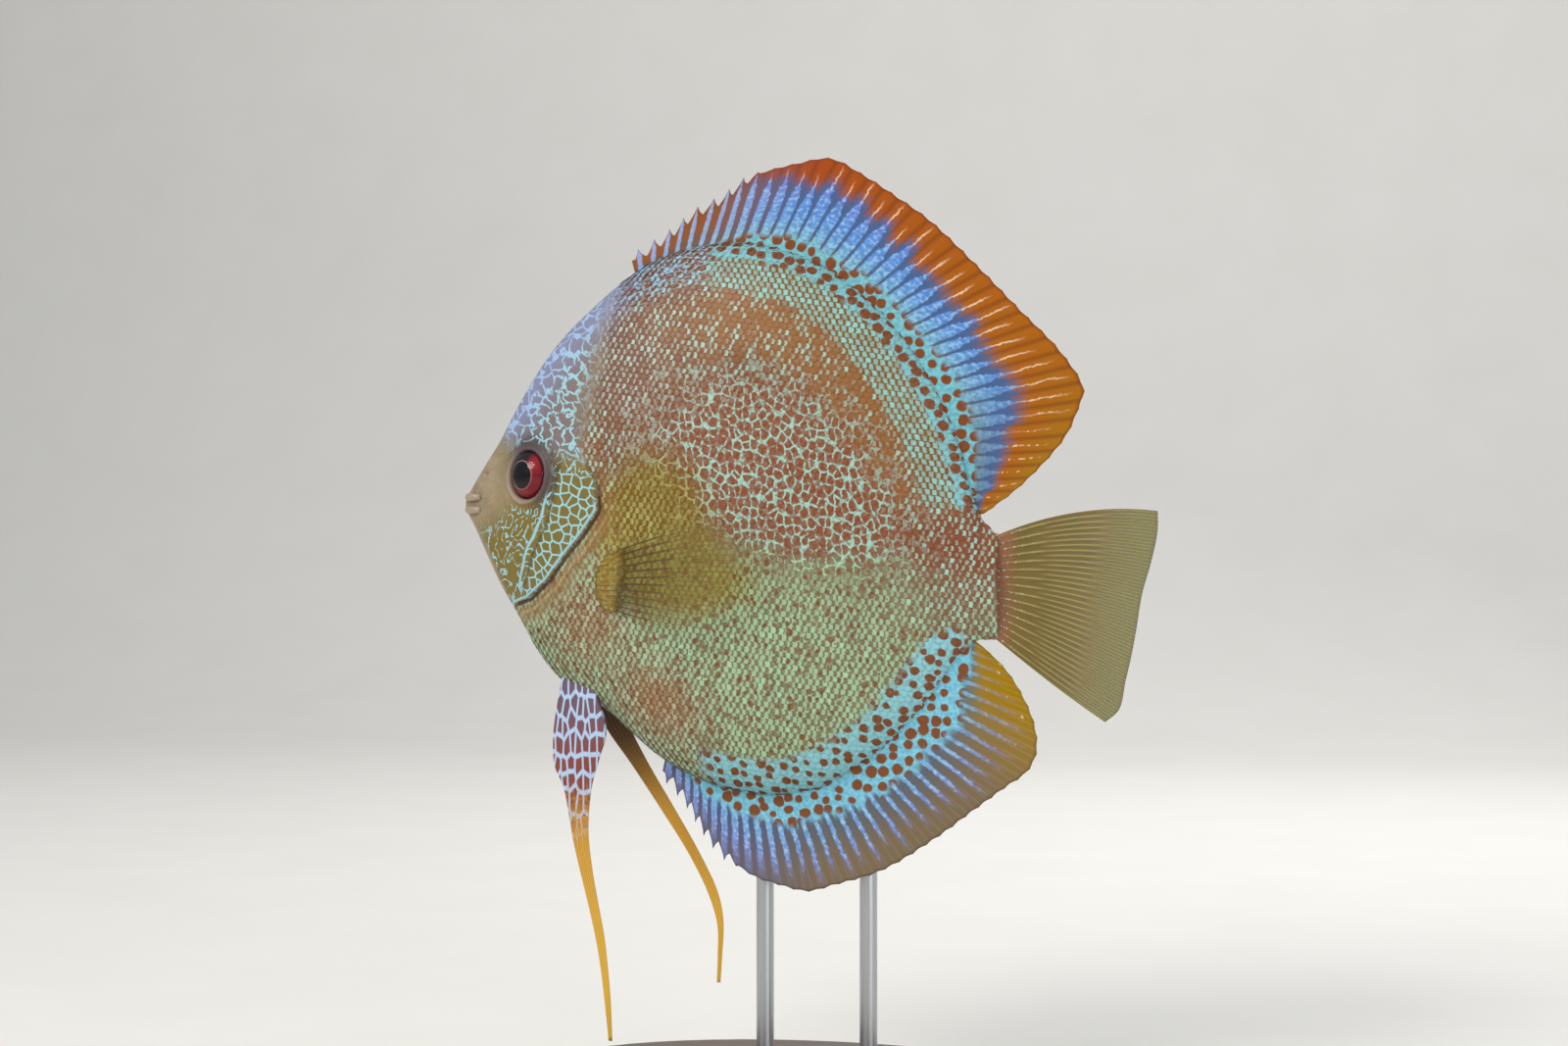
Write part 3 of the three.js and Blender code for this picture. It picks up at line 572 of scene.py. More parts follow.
def skin_ground(skin, at):
    """Brown tones from ochre to red-brown, mustard behind the gill, pale on the snout."""
    brown = skin.mix(at.cloud.between(0.35, 0.65), "#7c4c24", "#8d5a34")
    pale = skin.mix(at.cloud.between(0.4, 0.6), "#a28f72", "#93846c")
    return skin.coats(
        brown, (at.front * 0.7, "#7d5846"), (at.arc * 0.8, "#96642e"), (at.centre * 0.9, "#8a4a2a"),
        (at.tailward * 0.8, "#87472a"), (at.lower * 0.7, "#6f5426"),
        (at.mustard.between(0.1, 0.8), "#7c5c08"), (at.throat * 0.6, "#94683a"),
        (at.band * 0.7, "#8a5f22"), (at.stripes * 0.6, "#7d5244"), (at.head, "#7d6a24"),
        # The lavender over the top of the forehead is painted sheen.
        (at.cover * 0.7, "#77682c"), (at.maze, "#7c6a68"), (at.brow * 0.75, "#8a93b6"),
        (at.snout, pale), (at.snout * at.patch.between(0.40, 0.65) * 0.5, "#85765e"),
        (at.snout * at.fine.between(0.52, 0.72) * 0.3, "#c4b79c"), (at.shade * 0.85, "#41363c"))


def skin_light(skin, at):
    """Light paint: turquoise, greener below, bluer by the fins, and a lavender painted sheen along the top of
    the forehead.
    """
    turquoise = skin.mix(at.lower * 0.9, "#a4d2c2", "#a8cda2")
    return skin.coats(
        turquoise, (at.front * 0.7, "#b4c2bb"), (at.stripes, "#93c4da"),
        (at.band.most(at.sheath), "#8dcbc2"), (at.sheath * 0.7, "#78bfcb"), (at.anal * 0.9, "#88ccd8"),
        (at.mustard.between(0.15, 0.7) * 0.9, "#a9a04a"), (at.throat * 0.9, "#b8a888"),
        # The light paint over the top of the forehead turns lavender as painted sheen.
        (at.head, "#9accd4"), (at.brow * 0.7, "#a9bbee"))


def skin_cells(skin, at, size, warp, randomness=0.8, tall=1.0):
    """Distance to the edge and to the middle of irregular cells, and each cell's chance."""
    place = skin.moved(at.flat, skin.scaled(at.shaken, warp))
    place = skin.stretched(place, (tall, 1 / tall, 1.0))
    edge = skin.cells(place, size, randomness, "DISTANCE_TO_EDGE")
    near = skin.cells(place, size, randomness)
    return edge["Distance"], near["Distance"], skin.split(near["Color"])[0]


def round_spot(near, size, soft=0.06):
    """1 inside a round spot of a size about the middle of a cell, soft at its edge."""
    return near.between(size + soft, size - 0.05)


def scale_dashes(at):
    """A short pale crescent across each scale; below they join into wavy upright lines."""
    bent = abs(at.u + 0.5 * at.v * at.v - 0.05 + 0.34 * (at.ahead - 0.5))
    weight = 0.07 + 0.11 * at.pick + 0.06 * at.patch + 0.10 * at.lower + 0.05 * at.centre
    weight = weight + 0.03 * at.mustard
    tall = 0.26 + 0.22 * at.beside + 0.2 * at.lower.most(at.mustard * 0.8)
    dash = bent.between(weight + 0.10, weight - 0.04)
    dash = dash * abs(at.v + 0.24 * (at.pick - 0.5)).between(tall + 0.10, tall - 0.04)
    shown = 0.55 * at.beside + 0.9 * (at.patch - 0.5) + 0.3 * at.fine - 0.15 * at.arc * (1.0 - at.band)
    presence = shown.between(0.16, 0.50) * (0.5 + 0.5 * at.pick)
    presence = presence.most(0.8 * at.lower * shown.between(-0.05, 0.2)).most(0.6 * at.mustard)
    presence = presence.most(0.6 * at.front * shown.between(0.0, 0.25))
    presence = presence.most(0.5 * at.tailward * shown.between(0.1, 0.3))
    return dash * presence.least(1.0) * (1.0 - at.head) * (1.0 - 0.9 * at.centre)


def flank_lines(skin, at):
    """Light lines of the flank: scale dashes, net, slanting dashes and broken stripes."""
    # Brown spots lie in a net of joined light lines, on the middle of the flank.
    net_edge, net_near, net_pick = skin_cells(skin, at, 2.1, 0.8, 0.8, 1.15)
    net = net_edge.between(0.13, 0.06).most((net_near - 0.08 * net_pick).between(0.44, 0.56))
    net = net * (0.15 + 0.78 * (at.fine + 0.7 * (at.patch - 0.5)).between(0.38, 0.55)) * at.centre
    # Slanting dashes stand close packed along the fin's base.
    slanted = abs(at.u + 0.30 * at.v).between(0.38 + 0.08 * at.pick, 0.20)
    slanted = slanted * abs(at.v).between(0.50, 0.36)
    packed = at.band * slanted * (0.45 + 0.55 * at.patch.between(0.3, 0.5)) * (0.6 + 0.4 * at.pick)
    # Long broken lines run along the front of the back.
    slope = skin.joined(at.run_u * 0.10 + at.run_v * 0.02, at.run_v * 0.42 - at.run_u * 0.13)
    broken = (skin.noise(slope, 1.0, 1.0) * 5.0).off_line().between(0.22, 0.10)
    broken = at.stripes * broken * (0.25 + 0.75 * at.fine.between(0.40, 0.55))
    return net.most(scale_dashes(at)).most(packed).most(broken)


def head_lines(skin, at):
    """A maze on the forehead, rounded cells on the gill cover and slanting lines on the cheek."""
    maze_edge, _, _ = skin_cells(skin, at, 3.0, 4.2, 1.0)
    maze_line = maze_edge.between(0.15, 0.07) * (at.fine + 0.5 * at.patch).between(0.60, 0.70)
    cover_edge, _, _ = skin_cells(skin, at, 2.3, 0.7, 0.75)
    slope = skin.joined(at.run_u * 0.30 + at.run_v * 0.12, at.run_v * 0.30 - at.run_u * 0.40)
    cheek_line = (skin.noise(slope, 0.75, 0.5) * 6.0).off_line().between(0.17, 0.07)
    cheek_line = cheek_line * at.fine.between(0.38, 0.50) * (1.0 - at.snout).between(0.3, 0.9)
    edging = abs(at.past_gill + 0.6).between(0.42, 0.15) * at.gill_run.between(0.22, 0.32)
    groove_gap = abs(at.past_groove + 1.5 + (at.patch - 0.5))
    edging = edging.most(groove_gap.between(0.5, 0.2) * at.groove_run.between(0.05, 0.2))
    below = 1.0 - at.maze
    lines = at.maze * maze_line * (1.0 - 0.5 * at.snout)
    lines = lines.most(at.cover * below * cover_edge.between(0.12, 0.05))
    lines = lines.most((1.0 - at.cover) * below * cheek_line)
    lines = lines.most(edging * below * 0.95)
    return lines * at.head * (1.0 - at.snout * 0.9) * at.eye_gap.between(7.2, 8.4)


def face_details(skin, at, colour):
    """The gill opening's tan fold and the orbit, with painted shade in the opening, the cheek groove and
    round the eye.
    """
    fold = at.past_gill.between(0.9, 1.6) * at.past_gill.between(6.5, 3.0) * at.gill_run.between(0.22, 0.40)
    edge = at.past_gill + 0.6 * at.fine
    crease = edge.between(2.4, 2.7) * edge.between(3.3, 3.0)
    folded = skin.mix(crease, skin.mix(at.fine, "#7c5420", "#906838"), "#a98454")
    # Painted shade: a dark brown line in the dip of the gill opening.
    slit_shade = at.past_gill.between(-0.1, 0.1) * at.past_gill.between(1.1, 0.5) * at.gill_run.between(0.10, 0.30)
    # Painted shade: a dark line along the cheek groove.
    groove = abs(at.past_groove).between(0.45, 0.12) * at.groove_run.between(0.0, 0.1)
    orbit = skin.mix(at.shade, "#a69080", "#5c4c50")
    return skin.coats(
        colour, (fold * 0.65, folded), (slit_shade * 0.85, "#4a2612"), (groove * 0.6 * at.head, "#4d3d18"),
        (at.eye_gap.between(6.7, 6.3) * at.head, orbit),
        # Painted shade: a near black ring in the seam between the eyeball and its socket.
        (at.eye_gap.between(5.7, 5.3) * at.head, "#2a1a18"),
        (at.fine.between(0.60, 0.80) * 0.14, "#eef0e2"))


def skin_finish(name):
    """Moist painted skin: brown ground, light lines and spots over it, and the face."""
    skin = Finish(name)
    at = skin_place(skin)
    # By the fins large brown spots are left bare in solid light paint, and small brown spots
    # lie over the pale lower flank.
    by_fins = at.sheath.most(at.anal)
    _, big_near, big_pick = skin_cells(skin, at, 2.9, 0.8, 0.6)
    big = round_spot(big_near, 0.30 + 0.15 * big_pick + 0.22 * (at.patch - 0.5) - 0.05 * at.anal)
    solid = by_fins * (1.0 - big) * (0.72 + 0.28 * at.fine.between(0.35, 0.55))
    _, small_near, small_pick = skin_cells(skin, at, 2.5, 1.0, 0.85, 1.1)
    small_size = 0.03 + 0.24 * small_pick * (0.6 + 0.8 * at.patch) + 0.08 * at.throat
    small = round_spot(small_near, small_size, 0.10) * at.lower

    amount = flank_lines(skin, at).most(at.lower * 0.24 * (0.5 + at.patch))
    amount = amount * (1.0 - 0.85 * small)
    amount = (amount * (1.0 - big * by_fins)).most(solid)
    amount = (amount * (1.0 - at.head).between(0.3, 0.7)).most(head_lines(skin, at))
    tips = at.u.between(0.36, 0.47) * (1.0 - at.head) * (1.0 - solid)
    colour = skin.coats(
        skin_ground(skin, at), (small.most(big * by_fins) * 0.8, "#7e4520"),
        (amount.least(1.0), skin_light(skin, at)), (tips * 0.25, "#4f3a1c"))
    return skin.surface({
        "Base Color": face_details(skin, at, colour),
        "Roughness": 0.44 + 0.2 * at.fine - 0.06 * amount - 0.06 * at.snout,
        "Specular IOR Level": 0.35, "Coat Weight": 0.08, "Coat Roughness": 0.25,
        "Normal": skin.bump(at.fine * 0.6 + amount * 0.3, 0.00012, 0.5),
    })


def ring_faces(rings, sides):
    """Four-sided faces between rings of places, and a face over each end."""
    ring = np.arange(rings * sides).reshape(rings, sides)
    after = np.roll(ring, -1, axis=1)
    faces = np.stack([ring[:-1], after[:-1], after[1:], ring[1:]], axis=-1).reshape(-1, 4).tolist()
    return faces + [ring[0][::-1].tolist(), ring[-1].tolist()]


LIE_START = -70.0
body_finish = skin_finish("painted_skin")
skin = mesh_piece("skin", skin_places, ring_faces(SECTIONS, ROUND), body_finish)
skin_along = (np.repeat(section_x, ROUND) - LIE_START) / SCALE_LENGTH
carry(skin, flat_grid, np.stack([skin_along, skin_rows.ravel() / SCALE_ROW], axis=1))
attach(skin, "root")
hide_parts("head", "trunk", "tail_stalk", "gill_cover_left", "gill_cover_right")

# Scales.
# Small overlapping plates in rows that run from the gill opening to the tail, each bedded in
# the skin in front and free behind. They carry the same paint as the skin under them.
SCALE_BED = -0.08
SCALE_TIP = 0.20
SCALE_CROWN = 0.06
SCALE_THICKNESS = 0.3
SCALE_SHIFT = 0.35
SCALE_SPAN = (1.22, 0.78)
SCALE_CORNERS = 8
SCALE_POINT = 0.12
SIZE_RANGE = (0.92, 1.06)
TIP_RANGE = (0.75, 1.15)
EDGE_GAP = 0.4
STALK_GAP = 0.3
HEAD_GAP = 1.0
GILL_GAP = 1.2
FOLD_GAP = 3.6
PATCH = 0.003
MAP_START = (0.02, 0.5)
MAP_LENGTH = 115 / 0.95
MAP_HEIGHT = 150
FLANK_STEPS = 240
NEARBY = 0.2
NEARBY_TURN = 0.01


def running_length(points):
    """Length run along a line of points, from 0 at its start."""
    return np.concatenate([[0], np.cumsum(np.linalg.norm(np.diff(points, axis=0), axis=1))])


def skin_frame(x, turn, side):
    """Places on the plain form, with the directions outward and rearward along the rows."""
    ahead = body_form(x + NEARBY, turn) - body_form(x - NEARBY, turn)
    over = body_form(x, turn + NEARBY_TURN) - body_form(x, turn - NEARBY_TURN)
    out = np.cross(ahead, over)
    out /= np.linalg.norm(out, axis=1, keepdims=True)
    out *= np.where(out[:, 1:2] * side < 0, -1, 1)
    row = np.array((1.0, 0.0, AXIS_SLOPE))
    rearward = row - out * (out @ row)[:, None]
    rearward /= np.linalg.norm(rearward, axis=1, keepdims=True)
    return body_form(x, turn), out, rearward


def scale_roots(side):
    """Root place, outward, rearward and row place of each scale on one side."""
    found = []
    turns = np.linspace(-math.pi / 2, math.pi / 2, FLANK_STEPS)
    turns = turns if side == FAR else math.pi - turns
    for column, x in enumerate(np.arange(LIE_START, STALK_END_X - STALK_GAP, SCALE_LENGTH / 2)):
        form = body_form(x, turns)
        arc = running_length(form)
        zero = np.interp(axis_at(x), form[:, 2], arc)
        low = math.ceil((EDGE_GAP - zero) / SCALE_ROW)
        high = math.floor((arc[-1] - EDGE_GAP - zero) / SCALE_ROW)
        rows = np.arange(low, high + 1)
        rows = rows[(rows + column) % 2 == 0]
        turn = np.interp(rows * SCALE_ROW + zero, arc, turns)
        root, out, rearward = skin_frame(x, turn, side)
        run = side_of(root[:, 0], root[:, 2], GILL_EDGE)[1]
        bare = HEAD_GAP + GILL_GAP * step(0.0, 0.1, run) + FOLD_GAP * step(0.25, 0.4, run)
        keep = -side_of(root[:, 0], root[:, 2], HEAD_LINE)[0] > bare
        row_place = np.stack([np.full(rows.shape, column / 2), rows], axis=1)
        found.append([part[keep] for part in (root, out, rearward, row_place)])
    return [np.concatenate(part) for part in zip(*found)]


def coat(side, name, seed):
    """All scales of one side as one mesh, each a plate with a rim, a crown and an underside."""
    chance = np.random.default_rng(seed)
    roots, outs, backs, lies = scale_roots(side)
    across = np.cross(outs, backs)
    count = len(roots)
    n = SCALE_CORNERS
    turn = 2 * math.pi * np.arange(n) / n
    rear = np.cos(turn) * (1 + SCALE_POINT * np.cos(2 * turn)) * SCALE_SPAN[0]
    wide = np.sin(turn) * SCALE_SPAN[1]
    size = chance.uniform(*SIZE_RANGE, count)[:, None]
    tip = chance.uniform(*TIP_RANGE, count)[:, None] * (SCALE_TIP - SCALE_BED)
    share = (rear / SCALE_SPAN[0] + 1) / 2
    height = SCALE_BED - SCALE_RISE + tip * share + relief(roots)[:, None]
    crown = height.mean(axis=1, keepdims=True) + SCALE_CROWN
    centre = np.zeros((count, 2))
    own_u = np.concatenate([rear * size, centre], axis=1) + SCALE_SHIFT
    own_v = np.concatenate([wide * size, centre], axis=1)
    own_out = np.concatenate([height, crown, crown - SCALE_THICKNESS], axis=1)
    places = (roots[:, None] + backs[:, None] * own_u[..., None] + across[:, None] * own_v[..., None]
              + outs[:, None] * own_out[..., None])

    # The near side is the far side's mirror, so its faces turn the other way.
    fan = [[k, (k + 1) % n, n] for k in range(n)] + [[(k + 1) % n, k, n + 1] for k in range(n)]
    pattern = np.array(fan)[:, ::-1] if side == NEAR else np.array(fan)
    faces = (np.arange(count)[:, None, None] * (n + 2) + pattern).reshape(-1, 3)
    made = mesh_piece(name, places.reshape(-1, 3), faces.tolist(), body_finish)
    lie = np.stack([lies[:, :1] + own_u / SCALE_LENGTH, lies[:, 1:] + own_v / SCALE_ROW], axis=2)
    carry(made, np.repeat(roots, n + 2, axis=0), lie.reshape(-1, 2))
    bake_u = MAP_START[0] + lies[:, :1] * SCALE_LENGTH / MAP_LENGTH + PATCH * own_u / (2 * SCALE_SPAN[0])
    bake_v = MAP_START[1] + lies[:, 1:] * SCALE_ROW / MAP_HEIGHT + PATCH * own_v / (2 * SCALE_SPAN[1])
    write_map(made, "OFBake", np.stack([bake_u, bake_v], axis=2).reshape(-1, 2))
    ends = np.empty(len(made.data.edges) * 2, np.int32)
    made.data.edges.foreach_get("vertices", ends)
    on_rim = (ends.reshape(-1, 2) % (n + 2) < n).all(axis=1)
    made.data.attributes.new("sharp_edge", "BOOLEAN", "EDGE").data.foreach_set("value", on_rim)
    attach(made, "root")


coat(NEAR, "scales_left", 11)
coat(FAR, "scales_right", 12)

# Lips.
# Two smooth, thick lips of pale tan skin that roll about the small mouth. Each is a bent
# resin roll, swelling to its middle, and is set against the front of the snout.
LIP_RADIUS = 1.05
LIP_STEPS = 61
LIP_SIDES = 20
LIP_CORNER_SHARE = 0.55
LIP_FRONT = -78.65
LIP_CORNER = [(-74.6, 4.1), (-76.2, 3.9), (-77.6, 3.0)]
LIP_HEIGHTS = {"upper_lip": 136.9, "lower_lip": 134.05}
PATH_STEPS = 40


def smooth_path(points):
    """Points at any share of a rounded path through the given ones, even in place or length."""
    p = np.array([(q[0], q[1] if len(q) > 2 else 0.0, q[-1]) for q in points], float)
    p = np.vstack([2 * p[0] - p[1], p, 2 * p[-1] - p[-2]])
    fine = []
    for a, b, c, d in zip(p[:-3], p[1:-2], p[2:-1], p[3:]):
        k0, k1, k2 = [max(np.linalg.norm(m - n) ** 0.5, 1e-4) for m, n in ((b, a), (c, b), (d, c))]
        first = ((b - a) / k0 - (c - a) / (k0 + k1) + (c - b) / k1) * k1
        last = ((c - b) / k1 - (d - b) / (k1 + k2) + (d - c) / k2) * k1
        t = np.linspace(0, 1, PATH_STEPS, endpoint=False)[:, None]
        fine.append(b + first * t + (-3 * b + 3 * c - 2 * first - last) * t ** 2
                    + (2 * b - 2 * c + first + last) * t ** 3)
    fine = np.vstack([*fine, p[-2:-1]])
    length = running_length(fine)
    length /= length[-1]
    even_steps = np.linspace(0, 1, len(fine))

    def at(share, by_length=True):
        known = length if by_length else even_steps
        return np.stack([np.interp(share, known, fine[:, k]) for k in range(3)], axis=-1)
    return at


def lip_finish():
    """Smooth tan skin, mottled and faintly pitted."""
    lips = Finish("lip_skin")
    cloud = lips.noise(lips.place(), 0.35, 3.0)
    fine = lips.noise(lips.place(), 2.5, 3.0)
    tan = lips.mix(cloud, "#aa9880", "#9c8870")
    return lips.surface({
        "Base Color": lips.mix(fine.between(0.5, 0.75) * 0.4, tan, "#c9b49c"),
        "Roughness": 0.35 + 0.2 * fine, "Coat Weight": 0.3,
        "Normal": lips.bump(fine + cloud, 0.00015, 0.6),
    })


def lip_radius(share):
    """Full in the middle of the lip and thinner toward the corners of the mouth."""
    return LIP_RADIUS * (LIP_CORNER_SHARE + (1 - LIP_CORNER_SHARE) * np.sin(np.pi * share) ** 0.5)


def tube(path, radius, steps, sides):
    """Closed round roll along a path; radius is a function of the share run."""
    share = np.linspace(0, 1, steps)
    middle = path(share)
    ahead = np.gradient(middle, axis=0)
    ahead /= np.linalg.norm(ahead, axis=1, keepdims=True)
    up = np.array((0.0, 0.0, 1.0))
    side = np.cross(ahead, up)
    side /= np.linalg.norm(side, axis=1, keepdims=True)
    turn = 2 * math.pi * np.arange(sides)[None, :, None] / sides
    size = radius(share)[:, None, None]
    rings = middle[:, None] + size * (side[:, None] * np.cos(turn) + up * np.sin(turn))
    return rings.reshape(-1, 3), ring_faces(steps, sides)


lip_paint = lip_finish()
for name, height in LIP_HEIGHTS.items():
    near_half = [(x, -y, height) for x, y in LIP_CORNER]
    far_half = [(x, y, height) for x, y in LIP_CORNER[::-1]]
    lip_path = smooth_path([*near_half, (LIP_FRONT, 0, height), *far_half])
    places, faces = tube(lip_path, lip_radius, LIP_STEPS, LIP_SIDES)
    lip = mesh_piece("lips_" + name.split("_")[0], places, faces, lip_paint)
    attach(lip, "root")
    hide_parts(name)

# Eyes.
# Each eye is a flattened ball of cast resin: a domed crimson iris, dark on top with painted shade, round a
# large black pupil with a thin pale ring, under a clear polished cornea.
EYE_RADIUS = 5.75
EYE_DEPTH = 4.3
EYE_SUNK = 2.1
EYE_SWELL = 0.1
CORNEA_THICKNESS = 0.35
CORNEA_MARGIN = 0.05
REAR_TURN = 0.35
PUPIL_SHARE = 0.54
DOME_STEPS = 48
DOME_SIDES = 72


def eye_finish():
    """Crimson iris with fine streaks, painted shade over its top, a pale ring and a black pupil."""
    eye = Finish("iris")
    away, turn, _ = eye.split(eye.map("eye"))
    streak = eye.noise(eye.joined(away * 1.2, turn * 38.0), 1.0, 4.0)
    cloud = eye.noise(eye.place(), 0.5, 2.0)
    angle = turn * 2 * math.pi
    # Painted shade: the top of the iris is darkened.
    above = 0.8 * angle.wave() - 0.75 * (angle + math.pi / 2).wave()
    ring = away.between(PUPIL_SHARE - 0.01, PUPIL_SHARE + 0.01)
    ring = ring * away.between(PUPIL_SHARE + 0.06, PUPIL_SHARE + 0.03)
    pupil = away.between(PUPIL_SHARE + 0.005, PUPIL_SHARE - 0.02)
    colour = eye.coats(
        eye.mix(streak, "#8a0f22", "#b81f36"), ((above + 0.5 * cloud).between(0.35, 0.85), "#1d1a24"),
        (away.between(0.84, 0.97) * 0.9, "#2c1418"), (ring * 0.8, "#b08a84"), (pupil, "#040508"))
    return eye.surface({
        "Base Color": colour, "Roughness": 0.5 + 0.2 * streak, "Specular IOR Level": 0.2,
        "Normal": eye.bump(streak * (1.0 - pupil), 0.0001, 0.4),
    })


def cornea_finish():
    """Clear polished shell: see-through, and bright where it is seen aslant."""
    cornea = Finish("cornea")
    clear = cornea.node("ShaderNodeBsdfTransparent", {}, {})[0]
    shine = cornea.node("ShaderNodeBsdfGlossy", {}, {"Roughness": 0.04})[0]
    fresnel = cornea.node("ShaderNodeFresnel", {}, {"IOR": 1.38})[0]
    film = cornea.noise(cornea.place(), 0.6, 2.0)
    both = cornea.node("ShaderNodeMixShader", {}, {0: fresnel * (0.9 + 0.1 * film), 1: clear, 2: shine})[0]
    return cornea.shown(both)


def dome(name, side, radius, depth, first_turn, material):
    """A turned dome about the eye's axis, from near its rear pole or its rim to its front."""
    turn = np.linspace(first_turn, math.pi, DOME_STEPS)
    away = radius * np.sin(turn)
    out = -depth * np.cos(turn) + EYE_SWELL * np.maximum(0, -np.cos(turn)) ** 4
    mirror = np.array((1, -side, 1))
    axis = EYE_AXIS * mirror
    up = np.array((0.0, 0.0, 1.0))
    fore = np.cross(up, axis)
    base = EYE_CENTRE * mirror - axis * EYE_SUNK
    roll = 2 * math.pi * np.arange(DOME_SIDES) / DOME_SIDES
    circle = fore * np.cos(roll)[:, None] + up * np.sin(roll)[:, None]
    rings = base + axis * out[:-1, None, None] + away[:-1, None, None] * circle
    places = np.vstack([rings.reshape(-1, 3), base + axis * out[-1]])
    faces = ring_faces(DOME_STEPS - 1, DOME_SIDES)
    rim = faces.pop()
    faces += [[a, b, len(places) - 1] for a, b in zip(rim, rim[1:] + rim[:1])]
    made = mesh_piece(name, places, faces, material)
    share = np.where(turn < math.pi / 2, 1.0, away / radius)
    share = np.append(np.repeat(share[:-1], DOME_SIDES), 0.0)
    angle = np.append(np.tile(roll / (2 * math.pi), DOME_STEPS - 1), 0.0)
    write_map(made, "eye", np.stack([share, angle], axis=1))
    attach(made, "root")
    return made


iris_paint = eye_finish()
cornea_glass = cornea_finish()
for side, word in ((NEAR, "left"), (FAR, "right")):
    ball_depth = EYE_DEPTH - CORNEA_THICKNESS
    ball = dome("eyeball_" + word, side, EYE_RADIUS, ball_depth, REAR_TURN, iris_paint)
    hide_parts("eye_" + word)
    dome("cornea_" + word, side, EYE_RADIUS + CORNEA_MARGIN, EYE_DEPTH, math.pi / 2, cornea_glass)

# Dorsal fin.
# A membrane stretched over bony rays, the first nine hard spines with free tips. Cast thin
# and painted: spotted turquoise at the root, blue ray stripes, then an orange margin.
FIN_WAVE = 0.8
FIN_ROOT_HALF = 1.5
RAY_COLUMNS = 8
FIN_ROWS = 44
SPINE_TIP = 2.6
RAY_TIP = 0.35
SHEATH_REACH = 0.32
SHEATH_HOLLOW = 1.6
DORSAL_RAYS = 40
DORSAL_SPINES = 9
DORSAL_ROOT = [
    (-38.5, 186.8), (-31, 189.6), (-22, 191.8), (-14, 192.2), (-2, 189.7), (8.5, 184),
    (17, 176.6), (24.6, 167.4), (30.4, 157.5), (34.2, 148.5), (36.8, 139.5), (39, 132.5)]
DORSAL_EDGE = [
    (-39.9, 190.8), (-31, 196.3), (-24.8, 201), (-18.8, 203.8), (-14.9, 206.6), (-10.4, 209.2),
    (-1.1, 211.4), (7, 212.3), (13.8, 208.8), (21.5, 203.7), (29.3, 198), (39.6, 188),
    (48.9, 178.3), (58.5, 168.3), (63.4, 160.2), (62.4, 156.4), (60, 150.8), (56.6, 146.2),
    (49.2, 138.8), (44.5, 135.2), (41.6, 133.2)]


def plate(name, middle, half, columns, rows, material, rays):
    """A thin closed plate about the middle surface middle(s, r), with its ray coordinates."""
    s, r = np.meshgrid(np.linspace(0, 1, columns + 1), np.linspace(0, 1, rows + 1), indexing="ij")
    place = middle(s, r)
    out = np.cross(np.gradient(place, axis=0), np.gradient(place, axis=1))
    out /= np.linalg.norm(out, axis=2, keepdims=True) + 1e-9
    thick = half(s, r)[..., None]
    n = s.size
    places = np.vstack([(place + out * thick).reshape(-1, 3), (place - out * thick).reshape(-1, 3)])
    index = np.arange(n).reshape(columns + 1, rows + 1)
    a, b, c, d = index[:-1, :-1], index[1:, :-1], index[1:, 1:], index[:-1, 1:]
    front = np.stack([a, b, c, d], -1).reshape(-1, 4)
    back = np.stack([a, d, c, b], -1).reshape(-1, 4) + n
    edge = np.concatenate([index[:, 0], index[-1, 1:], index[::-1, -1][1:], index[0, ::-1][1:-1]])
    after = np.roll(edge, -1)
    rim = np.stack([edge, edge + n, after + n, after], -1)
    made = mesh_piece(name, places, np.vstack([front, back, rim]).tolist(), material)
    write_map(made, "lie", np.stack([np.tile((s * rays).ravel(), 2), np.tile(r.ravel(), 2)], 1))
    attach(made, "root")
    return made


def ridge(count, sharp):
    """A ridge about each half of a running count, 1 on it and 0 at whole numbers."""
    return (0.5 - 0.5 * np.cos(2 * math.pi * count)) ** sharp


def fin_half(rays, root_half, web=0.22, edge=0.1, rise=0.26, joints=26):
    """Half the thickness of a fin: a fleshy root, a thinning membrane and jointed rays."""
    def half(s, r):
        sheath = (root_half - web) * np.clip(1 - r / SHEATH_REACH, 0, 1) ** SHEATH_HOLLOW
        skin_half = web + (edge - web) * r
        beads = 1 + 0.12 * np.cos(2 * math.pi * joints * r)
        return sheath + skin_half + rise * ridge(s * rays, 3) * (1 - 0.75 * r) * beads
    return half


def mid_fin(root, edge, rays, spines):
    """Middle surface of a fin between its root line and its edge, pointed at each ray."""
    root_path, edge_path = smooth_path(root), smooth_path(edge)

    def middle(s, r):
        start, end = root_path(s), edge_path(s)
        ray = end - start
        length = np.linalg.norm(ray, axis=-1)
        reach = SPINE_TIP * step(spines, spines - 1.5, s * rays) + RAY_TIP
        peak = 0.5 - np.abs(2 * ((s * rays) % 1) - 1) ** 0.7
        tip = peak * reach * step(0.0, 0.4, np.minimum(s, 1 - s) * rays)
        place = start + ray * (r * (1 + r ** 6 * tip / length))[..., None]
        place[..., 1] += FIN_WAVE * r * r * np.sin(9 * s + 2 * r)
        return place
    return middle


def side_place(fin):
    """A place in the side view, in millimetres."""
    x, _, z = fin.split(fin.place())
    return fin.joined(x, z)


def fin_place(fin):
    """The count of rays, the reach from root to edge, the way off a ray and two soft noises."""
    ray, reach, _ = fin.split(fin.map("lie"))
    flat = side_place(fin)
    return ray, reach, ray.off_line(), fin.noise(flat, 0.15, 3.0), fin.noise(flat, 1.1, 4.0)


def fin_spots(fin, size):
    """Distance to the middle of scattered spots, and each spot's chance."""
    flat = side_place(fin)
    spots = fin.cells(fin.moved(flat, fin.jitter(flat, 2.0)), size, 0.6)
    return spots["Distance"], fin.split(spots["Color"])[0]


def ray_chance(fin, ray):
    """A chance of its own for each ray."""
    return fin.node("ShaderNodeTexWhiteNoise", {"noise_dimensions": "1D"}, {"W": ray.floor()})["Value"]


